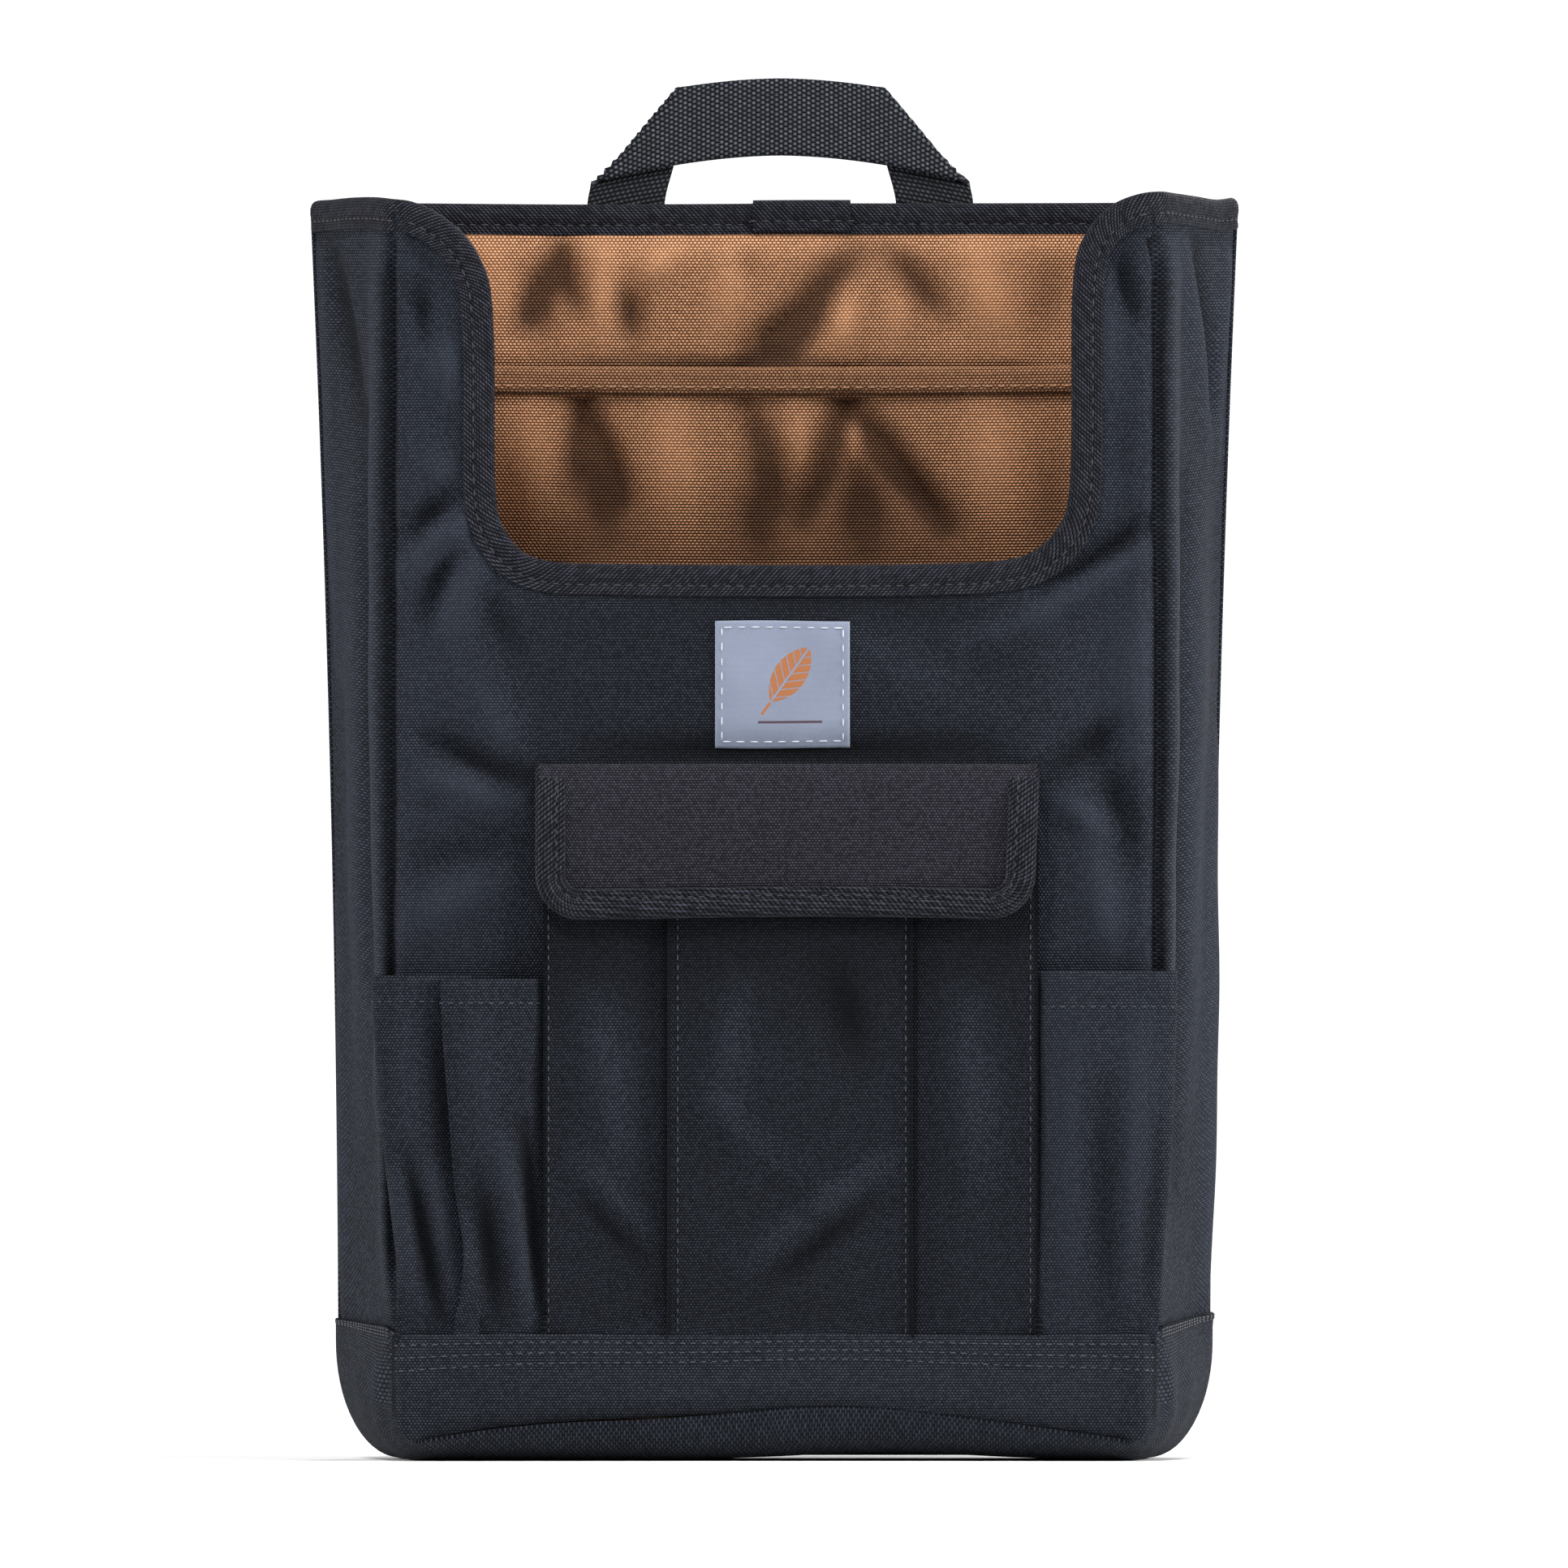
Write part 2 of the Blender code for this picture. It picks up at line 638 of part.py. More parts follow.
def flap_y(z):
    """The flap leaves its fold and runs out over the pocket, then hangs straight."""
    return mix(FLAP_HINGE_Y, FLAP_FACE_Y, smooth((FLAP_TOP - z) / FLAP_RUNOUT))


def flap_heights():
    """Levels down the flap, closer together round its foot corners."""
    foot = FLAP_TOP - FLAP_LENGTH + BINDING_PROUD
    tape_top = FLAP_TOP - FABRIC
    straight = [mix(tape_top, foot + FLAP_CORNER, step / FLAP_STEPS) for step in range(FLAP_STEPS)]
    angles = [math.pi / 2 * step / ARC_STEPS for step in range(ARC_STEPS + 1)]
    return [FLAP_TOP] + straight + [foot + FLAP_CORNER * (1 - math.sin(angle)) for angle in angles]


def flap_edge_x(z):
    """How far the rounded foot corner draws the flap's side in at a height."""
    over = FLAP_CORNER - (z - (FLAP_TOP - FLAP_LENGTH + BINDING_PROUD))
    if over <= 0:
        return 0.0
    over = min(over, FLAP_CORNER)
    return FLAP_CORNER - math.sqrt(FLAP_CORNER * FLAP_CORNER - over * over)


def build_flap(parts):
    half = FLAP_WIDTH / 2 - BINDING_PROUD
    rows = []
    for z in flap_heights():
        reach = half - flap_edge_x(z)
        columns = [mix(-reach, reach, c / FLAP_STEPS) + FLAP_SHIFT for c in range(FLAP_STEPS + 1)]
        rows.append([(x, flap_y(z), z) for x in columns])
    open_sheet("flap", rows, FABRIC, 0, parts, "shell_fabric")

    left = [(flap_edge_x(z) - half, z) for z in flap_heights()[1:]]
    run = left + [(-x, z) for x, z in reversed(left)]
    path = [Vector((x + FLAP_SHIFT, flap_y(z), z)) for x, z in run]
    across = [Vector((0, 1, 0))] * len(path)
    profile = channel(FABRIC, BINDING_WIDTH)
    sweep("flap_binding", path, inward_normals(path, 1), across, profile, parts, "binding_tape")


def build_closure(parts):
    """Hook tape inside the flap and loop tape on the pocket, face to face, and the flap's own seam."""
    x0 = FLAP_SHIFT - CLOSURE_WIDTH / 2
    x1 = FLAP_SHIFT + CLOSURE_WIDTH / 2
    low = FLAP_TOP - FLAP_LENGTH + CLOSURE_MARGIN
    outline = [(x0, low), (x1, low), (x1, low + CLOSURE_HEIGHT), (x0, low + CLOSURE_HEIGHT)]
    pocket_face = FRONT_Y - CARGO_REACH
    loop_back = pocket_face - GAP
    flat_plate("pocket_loop_tape", outline, loop_back - TAPE, loop_back, parts, "closure_tape")
    hook_back = loop_back - TAPE - GAP
    flat_plate("flap_hook_tape", outline, hook_back - TAPE, hook_back, parts, "closure_tape")

    half = FLAP_WIDTH / 2 - BINDING_PROUD
    x0, x1 = FLAP_SHIFT - half, FLAP_SHIFT + half
    top = FLAP_TOP - FABRIC
    low = top - FLAP_SEAM_HEIGHT
    outline = [(x0, low), (x1, low), (x1, top), (x0, top)]
    flat_plate("flap_seam", outline, FRONT_Y - BOOT, FRONT_Y - GAP, parts, "shell_fabric")


def build_label(parts):
    x0 = LABEL_SHIFT - LABEL_WIDTH / 2
    x1 = LABEL_SHIFT + LABEL_WIDTH / 2
    low = LABEL_MIDDLE - LABEL_HEIGHT / 2
    outline = [(x0, low), (x1, low), (x1, low + LABEL_HEIGHT), (x0, low + LABEL_HEIGHT)]
    flat_plate("label", outline, FRONT_Y - GAP - LABEL_THICKNESS, FRONT_Y - GAP, parts, "label_cloth")


def build_axis_empties(parts):
    """Each moving piece hangs from an empty on its joint's axis."""
    bpy.context.view_layer.update()
    for name, place, children in (
        ("handle_axis", (HANDLE_SHIFT, HANDLE_Y, HANDLE_AXIS_Z), ("handle_loop",)),
        ("flap_axis", (FLAP_SHIFT, FLAP_HINGE_Y, FLAP_TOP), ("flap", "flap_binding", "flap_hook_tape")),
    ):
        empty = bpy.data.objects.new(name, None)
        empty.location = place
        parts.objects.link(empty)
        bpy.context.view_layer.update()
        for child in children:
            obj = bpy.data.objects[child]
            obj.parent = empty
            obj.matrix_parent_inverse = empty.matrix_world.inverted()


clear_scene()
bag_parts = new_collection("garden_tool_bag")
bag_cutters = new_collection("cutters")
build_shell(bag_parts)
build_lining(bag_parts)
build_base_board(bag_parts)
build_foot_band(bag_parts)
build_rim_binding(bag_parts)
build_binding_lap(bag_parts)
build_handle(bag_parts, bag_cutters)
build_inner_pocket(bag_parts)
build_cargo_pocket(bag_parts)
build_slip_pockets(bag_parts)
build_flap(bag_parts)
build_closure(bag_parts)
build_label(bag_parts)
build_axis_empties(bag_parts)
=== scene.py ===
import math

import bmesh
import bpy
import numpy as np
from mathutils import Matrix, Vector


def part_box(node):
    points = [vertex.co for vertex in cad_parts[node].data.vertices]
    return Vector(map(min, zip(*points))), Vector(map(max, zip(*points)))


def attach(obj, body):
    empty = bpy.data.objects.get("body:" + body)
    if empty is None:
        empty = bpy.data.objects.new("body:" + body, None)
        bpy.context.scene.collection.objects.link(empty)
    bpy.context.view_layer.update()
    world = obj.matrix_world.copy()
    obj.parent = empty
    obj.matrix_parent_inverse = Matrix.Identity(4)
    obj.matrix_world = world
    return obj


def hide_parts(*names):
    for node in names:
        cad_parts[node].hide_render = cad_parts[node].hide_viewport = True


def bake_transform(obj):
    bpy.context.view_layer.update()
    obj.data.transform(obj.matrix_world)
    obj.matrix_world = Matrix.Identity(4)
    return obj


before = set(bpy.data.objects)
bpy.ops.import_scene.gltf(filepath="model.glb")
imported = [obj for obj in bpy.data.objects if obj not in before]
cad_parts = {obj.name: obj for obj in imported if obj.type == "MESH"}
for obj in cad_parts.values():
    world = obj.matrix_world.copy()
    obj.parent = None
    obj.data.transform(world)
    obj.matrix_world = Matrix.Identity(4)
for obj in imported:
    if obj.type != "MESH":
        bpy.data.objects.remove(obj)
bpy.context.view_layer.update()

mm = 0.001
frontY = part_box("front_panel")[0].y  # outer face of the front panel
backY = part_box("back_panel")[1].y  # outer face of the back panel
bodyDepth = backY - frontY

view = {"distance": 16.0, "frameWidth": 0.512, "aimX": 3.2 * mm, "aimZ": 221 * mm, "sensor": 36.0}

studio = {
    "worldToCamera": 1.15,
    "worldToObject": 0.16,
    "floorRadius": 1.5,
    "floorTone": (0.92, 0.92, 0.92, 1),
    # place, aim, size, power
    "lights": {
        "keyLight": ((-0.55, -1.10, 1.60), (0, 0, 0.30), 0.35, 24),
        "leftLight": ((-1.75, -0.42, 0.55), (0, 0, 0.22), 0.6, 22),
        "rightLight": ((1.75, -0.46, 0.60), (0, 0, 0.22), 0.6, 42),
        "topLight": ((0.35, -0.40, 1.50), (0, 0.04, 0.35), 0.3, 14),
        "backLight": ((0.40, 1.70, 0.90), (0, 0, 0.22), 1.0, 20),
    },
}


def showObject(name, data):
    obj = bpy.data.objects.new(name, data)
    bpy.context.scene.collection.objects.link(obj)
    return obj


def makeCamera():
    data = bpy.data.cameras.new("camera")
    data.sensor_width = view["sensor"]
    data.lens = view["sensor"] * view["distance"] / view["frameWidth"]
    obj = showObject("camera", data)
    obj.location = (view["aimX"], frontY - view["distance"], view["aimZ"])
    obj.rotation_euler = (math.pi / 2, 0, 0)
    bpy.context.scene.camera = obj


makeCamera()
print("camera ready")


# shader maths

class Term:
    # a socket that works in Python arithmetic
    def __init__(self, paint, socket):
        self.paint = paint
        self.socket = socket

    def maths(self, operation, *others):
        return self.paint.add("ShaderNodeMath", {"operation": operation}, [self, *others])

    def __add__(self, other):
        return self.maths("ADD", other)

    def __sub__(self, other):
        return self.maths("SUBTRACT", other)

    def __mul__(self, other):
        return self.maths("MULTIPLY", other)

    def __truediv__(self, other):
        return self.maths("DIVIDE", other)

    def __pow__(self, other):
        return self.maths("POWER", other)

    def __rsub__(self, other):
        return self.paint.add("ShaderNodeMath", {"operation": "SUBTRACT"}, [other, self])

    def arches(self):
        # rounded humps, one for each whole step
        return (self.maths("FRACT") * math.pi).maths("SINE").maths("MAXIMUM", 0.001)

    __radd__ = __add__
    __rmul__ = __mul__


class Paint:
    # one material and the nodes that it needs
    def __init__(self, name, roughness, sheen=0.0, sheenRoughness=0.5, specular=0.5):
        self.material = bpy.data.materials.new(name)
        self.material.use_nodes = True
        self.tree = self.material.node_tree
        self.shader = self.tree.nodes["Principled BSDF"]
        self.shader.inputs["Roughness"].default_value = roughness
        self.shader.inputs["Sheen Weight"].default_value = sheen
        self.shader.inputs["Sheen Roughness"].default_value = sheenRoughness
        self.shader.inputs["Specular IOR Level"].default_value = specular

    def link(self, value, socket):
        if isinstance(value, Term):
            self.tree.links.new(value.socket, socket)
        else:
            socket.default_value = value

    def add(self, kind, settings=None, values=(), output=0):
        node = self.tree.nodes.new(kind)
        for key, setting in (settings or {}).items():
            setattr(node, key, setting)
        pairs = values.items() if isinstance(values, dict) else enumerate(values)
        for key, value in pairs:
            self.link(value, node.inputs[key])
        return Term(self, node.outputs[output])

    def flat(self):
        # the sheet's own flat coordinates, in metres
        layer = self.add("ShaderNodeUVMap", {"uv_map": "flat"})
        axes = self.tree.nodes.new("ShaderNodeSeparateXYZ")
        self.link(layer, axes.inputs[0])
        return Term(self, axes.outputs[0]), Term(self, axes.outputs[1])

    def place(self):
        return self.add("ShaderNodeTexCoord", output=3)

    def paintedShading(self):
        # painted shading kept on the piece: above 0 painted shade, in valleys and other shaded places; below 0
        # painted highlight, on ridges
        return self.add("ShaderNodeAttribute", {"attribute_name": "paintedShading"}, output=2)

    def noise(self, scale, detail=2.0, vector=None):
        values = {"Vector": vector or self.place(), "Scale": scale, "Detail": detail}
        return self.add("ShaderNodeTexNoise", None, values)

    def blend(self, share, first, second):
        settings = {"data_type": "RGBA", "clamp_factor": True}
        return self.add("ShaderNodeMix", settings, {0: share, 6: first, 7: second}, output=2)

    def finish(self, colour, height=None, bump=0.0, roughness=None):
        self.link(colour, self.shader.inputs["Base Color"])
        if roughness is not None:
            self.link(roughness, self.shader.inputs["Roughness"])
        if height is not None:
            values = {"Height": height, "Distance": bump, "Strength": 1.0}
            normal = self.add("ShaderNodeBump", None, values)
            self.link(normal, self.shader.inputs["Normal"])
        return self.material


def brickGrain(paint, along, across, length, width):
    # threads that show as rows of ovals, each row shifted by half; gives the relief and a tone per thread
    row = across / width
    rowNumber = row.maths("FLOOR")
    column = along / length + rowNumber.maths("MODULO", 2.0) * 0.5
    arch = column.arches()
    side = row.arches()
    relief = arch ** 0.7 * side ** 0.6
    cell = paint.add("ShaderNodeCombineXYZ", None, [column.maths("FLOOR"), rowNumber, 0.0])
    tone = paint.add("ShaderNodeTexWhiteNoise", {"noise_dimensions": "3D"}, {"Vector": cell})
    return relief, tone


def wovenCloth(name, dark, light, pitch, bump, sheen, roughness=0.85, wear=0.35, specular=0.3, uneven=0.9):
    # plain heavy weave, with a tone that varies from thread to thread and slowly over the cloth, and with painted
    # shade and painted highlight from the piece's painted shading
    paint = Paint(name, roughness, sheen, 0.45, specular)
    u, v = paint.flat()
    relief, tone = brickGrain(paint, u, v, pitch[0], pitch[1])
    slow = paint.noise(14.0, 3.0)
    fine = paint.noise(900.0, 1.0)
    share = relief ** 1.5 * (tone * uneven + 0.85 - uneven / 2) + (slow - 0.5) * wear + (fine - 0.5) * 0.25
    colour = paint.blend(share, dark, light)
    # painted shade darkens the colour where the value is above 0; painted highlight lightens it where the value
    # is below 0
    paintedShading = paint.paintedShading()
    colour = paint.blend(paintedShading * 0.85, colour, tuple(part * 0.5 for part in dark[:3]) + (1,))
    colour = paint.blend(paintedShading * -0.4, colour, light)
    return paint.finish(colour, relief + tone * 0.35, bump, roughness + (0.5 - relief) * 0.15)


def twillTape(name, dark, light, pitch, slope, bump, roughness=0.8):
    # herringbone tape: ribs that lean to both sides of the fold
    paint = Paint(name, roughness, 0.02, 0.4, 0.10)
    u, v = paint.flat()
    lean = (u + v.maths("ABSOLUTE") * slope) / pitch
    rib = lean.arches()
    thread = (v / (pitch * 0.62)).arches()
    relief = rib ** 1.1 * thread ** 0.4
    cell = paint.add("ShaderNodeCombineXYZ", None, [lean.maths("FLOOR"), (v / pitch).maths("FLOOR"), 0.0])
    tone = paint.add("ShaderNodeTexWhiteNoise", {"noise_dimensions": "3D"}, {"Vector": cell})
    share = relief ** 1.8 * (tone * 0.8 + 0.35) + (paint.noise(20.0) - 0.5) * 0.1
    colour = paint.blend(share, dark, light)
    return paint.finish(colour, relief, bump, roughness + (0.5 - relief) * 0.2)


def twistedThread(name, dark, light):
    paint = Paint(name, 0.6, 0.2, 0.4, 0.4)
    fine = paint.noise(2600.0, 1.0)
    colour = paint.blend(fine * 1.4 - 0.2, dark, light)
    return paint.finish(colour, fine, 0.05 * mm)


def leafLabel(name):
    # satin label with a plain leaf over a ground line
    paint = Paint(name, 0.55, 0.3, 0.3, 0.5)
    u, v = paint.flat()
    weft = ((u + v * 0.15) / (0.42 * mm)).arches()
    warp = (v / (0.30 * mm)).arches()
    relief = weft ** 0.6 * 0.5 + warp ** 0.6 * 0.5
    ground = paint.blend(relief * 0.5 + paint.noise(60.0, 3.0) * 0.6 - 0.1, label["ground"], label["gleam"])
    x = u - label["leafX"]
    z = v - label["leafZ"]
    turn = label["leafTurn"]
    a = x * math.cos(turn) + z * math.sin(turn)
    b = z * math.cos(turn) - x * math.sin(turn)
    radius = (label["leafLength"] ** 2 + label["leafWidth"] ** 2) / (4 * label["leafWidth"])
    gap = radius - label["leafWidth"] / 2
    side = b.maths("ABSOLUTE") + gap
    inside = (side * side + a * a).maths("SQRT").maths("LESS_THAN", radius)
    vein = (b.maths("ABSOLUTE")).maths("GREATER_THAN", 0.35 * mm)
    ribs = ((a - b.maths("ABSOLUTE") * 0.9) / (3.2 * mm)).maths("FRACT").maths("GREATER_THAN", 0.14)
    leaf = inside * vein * ribs
    stem = (
        b.maths("ABSOLUTE").maths("LESS_THAN", 0.45 * mm)
        * (a + label["leafLength"] * 0.62).maths("ABSOLUTE").maths("LESS_THAN", 2.4 * mm)
    )
    satin = (((u + v) / (0.55 * mm)).maths("FRACT") * math.pi).maths("SINE")
    motif = paint.blend(satin, label["motifDark"], label["motifLight"])
    line = (
        (v - label["lineZ"]).maths("ABSOLUTE").maths("LESS_THAN", 0.4 * mm)
        * (u - label["leafX"]).maths("ABSOLUTE").maths("LESS_THAN", 10.5 * mm)
    )
    colour = paint.blend((leaf + stem).maths("MINIMUM", 1.0), ground, motif)
    colour = paint.blend(line, colour, label["line"])
    return paint.finish(colour, relief + leaf * 0.8, 0.08 * mm)


label = {
    "width": 44 * mm, "height": 41.5 * mm, "inset": 2.2 * mm, "pucker": 0.35 * mm,
    "thickness": 0.6 * mm, "crown": 0.35 * mm, "bow": 0.35 * mm,
    "ground": (0.100, 0.120, 0.170, 1), "gleam": (0.200, 0.230, 0.312, 1),
    "motifDark": (0.20, 0.060, 0.012, 1), "motifLight": (0.34, 0.115, 0.028, 1),
    "line": (0.045, 0.018, 0.035, 1),
    "leafX": 24.5 * mm, "leafZ": 24.0 * mm, "leafLength": 22 * mm, "leafWidth": 10.5 * mm, "leafTurn": 0.95,
    "lineZ": 8.5 * mm,
}

cloth = {
    "shell": wovenCloth(
        "shellCanvas", dark=(0.0003, 0.0007, 0.0020, 1), light=(0.0350, 0.0415, 0.0580, 1),
        pitch=(1.15 * mm, 0.90 * mm), bump=0.45 * mm, sheen=0.02, roughness=0.85, wear=0.18, specular=0.08,
        uneven=0.65
    ),
    "band": wovenCloth(
        "bandCanvas", dark=(0.0005, 0.0009, 0.0022, 1), light=(0.0360, 0.0425, 0.0580, 1),
        pitch=(1.15 * mm, 0.90 * mm), bump=0.40 * mm, sheen=0.02, roughness=0.85, wear=0.18, specular=0.08,
        uneven=0.55
    ),
    "flap": wovenCloth(
        "flapCanvas", dark=(0.0005, 0.0005, 0.0014, 1), light=(0.0400, 0.0390, 0.0560, 1),
        pitch=(1.10 * mm, 0.90 * mm), bump=0.45 * mm, sheen=0.03, roughness=0.85, wear=0.18, specular=0.10,
        uneven=0.7
    ),
    "lining": wovenCloth(
        "liningCanvas", dark=(0.040, 0.014, 0.006, 1), light=(0.760, 0.380, 0.195, 1),
        pitch=(1.30 * mm, 0.95 * mm), bump=0.42 * mm, sheen=0.02, roughness=0.75, wear=0.14, specular=0.15,
        uneven=0.2
    ),
    "tape": twillTape(
        "rimTape", (0.0001, 0.0002, 0.0008, 1), (0.0440, 0.0460, 0.0650, 1), 1.45 * mm, 0.9, 0.55 * mm
    ),
    "flapTape": twillTape(
        "flapTape", (0.0001, 0.0002, 0.0008, 1), (0.0450, 0.0475, 0.0660, 1), 1.70 * mm, 0.8, 0.65 * mm
    ),
    "thread": twistedThread("seamThread", (0.010, 0.012, 0.018, 1), (0.036, 0.040, 0.054, 1)),
    "darkThread": twistedThread("rimThread", (0.003, 0.003, 0.006, 1), (0.014, 0.015, 0.021, 1)),
    "tanThread": twistedThread("tanThread", (0.16, 0.075, 0.035, 1), (0.36, 0.20, 0.11, 1)),
    "paleThread": twistedThread("paleThread", (0.30, 0.34, 0.38, 1), (0.58, 0.62, 0.68, 1)),
    "label": leafLabel("labelSatin"),
}


def webbingWeave(name, dark, light):
    # coarse columns of grains that run across the webbing
    paint = Paint(name, 0.6, 0.0, 0.4, 0.12)
    u, v = paint.flat()
    relief, tone = brickGrain(paint, v, u, 1.60 * mm, 1.50 * mm)
    share = relief ** 3.6 * (tone * 0.5 + 0.6)
    colour = paint.blend(share, dark, light)
    # painted shadow: the parts of the webbing marked on the piece, the legs behind the grip, are darkened in the
    # colour
    paintedShading = paint.paintedShading()
    colour = paint.blend(paintedShading, colour, dark)
    return paint.finish(colour, relief, 0.45 * mm, 0.72 - relief * 0.25)


def closurePile(name, dark, light, scale):
    paint = Paint(name, 0.95, 0.0, 0.5, 0.05)
    pile = paint.noise(scale, 4.0)
    return paint.finish(paint.blend(pile, dark, light), pile, 0.5 * mm)


def fibreBoard(name):
    paint = Paint(name, 0.85, 0.0, 0.5, 0.2)
    fibre = paint.noise(380.0, 6.0)
    return paint.finish(paint.blend(fibre, (0.16, 0.11, 0.07, 1), (0.34, 0.25, 0.16, 1)), fibre, 0.1 * mm)


cloth["webbing"] = webbingWeave("handleWebbing", (0.0002, 0.0003, 0.0009, 1), (0.0980, 0.1080, 0.1380, 1))
cloth["loops"] = closurePile("loopPile", (0.004, 0.004, 0.005, 1), (0.030, 0.030, 0.034, 1), 1500.0)
cloth["hooks"] = closurePile("hookGround", (0.006, 0.006, 0.007, 1), (0.020, 0.020, 0.024, 1), 900.0)
cloth["board"] = fibreBoard("baseBoard")
print("materials ready")


# curves, patches and folds

def lerp(a, b, t):
    return a + (b - a) * t


def ease(t):
    t = np.clip(t, 0.0, 1.0)
    return t * t * (3 - 2 * t)


def fold(x, z, start, end, width, height):
    # soft ridge, or valley where height is negative, along a line; all in mm
    along = np.array(end, float) - np.array(start, float)
    length = along @ along
    t = np.clip(((x - start[0]) * along[0] + (z - start[1]) * along[1]) / length, 0, 1)
    away = (x - start[0] - t * along[0]) ** 2 + (z - start[1] - t * along[1]) ** 2
    return height * (0.45 + 0.55 * np.sin(math.pi * t)) * np.exp(-away / width ** 2)


def foldField(x, z, folds):
    total = np.zeros_like(x)
    for start, end, width, height in folds:
        total = total + fold(x, z, start, end, width, height)
    return total


def ripple(x, z, size, height, seed):
    # slow unevenness made of a few slanted waves; all in mm
    total = np.zeros_like(x)
    for i in range(5):
        angle = seed * 1.7 + i * 1.31
        wave = size * (1.0 + 0.35 * i)
        total = total + np.sin(
            (x * math.cos(angle) + z * math.sin(angle)) / wave * 2 * math.pi + seed * 3.1 + i * 2.3
        )
    return total * height / 5


def splineLine(points, count, closed=False):
    # a smooth line through the points, evenly spaced
    points = np.array(points, float)
    total = len(points)
    pick = (lambda i: points[i % total]) if closed else (lambda i: points[min(max(i, 0), total - 1)])
    fine = []
    for i in range(total if closed else total - 1):
        p0, p1, p2, p3 = pick(i - 1), pick(i), pick(i + 1), pick(i + 2)
        for t in np.linspace(0, 1, 24, endpoint=False):
            fine.append(
                0.5
                * (
                    2 * p1 + (p2 - p0) * t + (2 * p0 - 5 * p1 + 4 * p2 - p3) * t ** 2
                    + (3 * p1 - p0 - 3 * p2 + p3) * t ** 3
                )
            )
    fine.append(points[0] if closed else points[-1])
    fine = np.array(fine)
    steps = np.concatenate([[0], np.cumsum(np.linalg.norm(np.diff(fine[:, :3], axis=0), axis=1))])
    wanted = np.linspace(0, steps[-1], count + 1 if closed else count)
    line = np.stack([np.interp(wanted, steps, fine[:, i]) for i in range(fine.shape[1])], 1)
    return line[:-1] if closed else line


def basis(count, samples):
    # weights of a smooth clamped line over its control points
    spans = count - 1
    t = np.linspace(0, spans, samples)
    weights = np.zeros((samples, count))
    for row, value in enumerate(t):
        span = min(int(value), spans - 1)
        s = value - span
        # quadratic weights of the neighbours around the span
        near = s < 0.5
        shares = (
            0.5 * (0.5 - s) ** 2 if near else 0.0,
            0.75 - s ** 2 if near else 0.5 * (1.5 - s) ** 2,
            0.5 * (s + 0.5) ** 2 if near else 0.75 - (1 - s) ** 2,
            0.0 if near else 0.5 * (s - 0.5) ** 2,
        )
        for offset, weight in zip((-1, 0, 1, 2), shares):
            weights[row, min(max(span + offset, 0), count - 1)] += weight
    weights[0] = 0
    weights[0, 0] = 1
    weights[-1] = 0
    weights[-1, -1] = 1
    return weights


def patch(control, rows, columns):
    # a smooth surface over a net of control points, given row by row
    net = np.array(control, float)
    across = np.einsum("sc,rck->rsk", basis(net.shape[1], columns), net)
    return np.einsum("sr,rck->sck", basis(net.shape[0], rows), across)


def normalsOf(grid):
    down = np.gradient(grid, axis=0)
    right = np.gradient(grid, axis=1)
    n = np.cross(down, right)
    return n / np.maximum(np.linalg.norm(n, axis=2, keepdims=True), 1e-12)


def flatOf(grid):
    # flat coordinates from the lengths along rows and columns
    across = np.linalg.norm(np.diff(grid, axis=1), axis=2)
    down = np.linalg.norm(np.diff(grid, axis=0), axis=2)
    u = np.concatenate([np.zeros((grid.shape[0], 1)), np.cumsum(across, axis=1)], 1)
    v = np.concatenate([np.zeros((1, grid.shape[1])), np.cumsum(down, axis=0)], 0)
    u = u - u[:, [u.shape[1] // 2]]
    return np.stack([u, -v], 2)


grids = {}


def clothPiece(name, grid, finish, thickness, body, flat=None, keep=None, side=-1.0, paintedShading=None):
    # a sheet through a grid of points, left to right and going down as seen from outside
    rows, columns = grid.shape[:2]
    index = np.arange(rows * columns).reshape(rows, columns)
    quads = np.stack([index[:-1, :-1], index[1:, :-1], index[1:, 1:], index[:-1, 1:]], -1).reshape(-1, 4)
    if keep is not None:
        quads = quads[keep.ravel()]
    used, small = np.unique(quads, return_inverse=True)
    mesh = bpy.data.meshes.new(name)
    mesh.from_pydata(grid.reshape(-1, 3)[used].tolist(), [], small.reshape(-1, 4).tolist())
    layer = mesh.uv_layers.new(name="flat")
    places = (flatOf(grid) if flat is None else flat).reshape(-1, 2)
    layer.data.foreach_set("uv", places[quads.ravel()].astype(np.float32).ravel())
    # painted shading per point: painted shade above 0, painted highlight below 0
    depth = mesh.attributes.new("paintedShading", "FLOAT", "POINT")
    if paintedShading is not None:
        depth.data.foreach_set("value", np.clip(paintedShading, -1, 1).ravel()[used].astype(np.float32))
    mesh.shade_smooth()
    mesh.materials.append(cloth[finish])
    obj = showObject(name, mesh)
    wall = obj.modifiers.new("thickness", "SOLIDIFY")
    wall.thickness = thickness
    wall.offset = side
    wall.use_even_offset = False
    if body:
        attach(obj, body)
    grids[name] = grid
    return obj


def lineOn(name, start, end, count=80, lift=0.0):
    # points and outward directions on a line over a named grid, between two (row share, column share) places
    grid = grids[name]
    normal = normalsOf(grid)
    rows, columns = grid.shape[:2]
    r = np.linspace(start[0], end[0], count) * (rows - 1)
    c = np.linspace(start[1], end[1], count) * (columns - 1)
    return sampleGrid(grid, normal, r, c, lift)


def sampleGrid(grid, normal, r, c, lift):
    rows, columns = grid.shape[:2]
    r0 = np.clip(r.astype(int), 0, rows - 2)
    c0 = np.clip(c.astype(int), 0, columns - 2)
    fr = (r - r0)[:, None]
    fc = (c - c0)[:, None]

    def pick(field):
        top = field[r0, c0] * (1 - fc) + field[r0, c0 + 1] * fc
        low = field[r0 + 1, c0] * (1 - fc) + field[r0 + 1, c0 + 1] * fc
        return top * (1 - fr) + low * fr

    n = pick(normal)
    n = n / np.linalg.norm(n, axis=1, keepdims=True)
    return pick(grid) + n * lift, n


# shape of the body

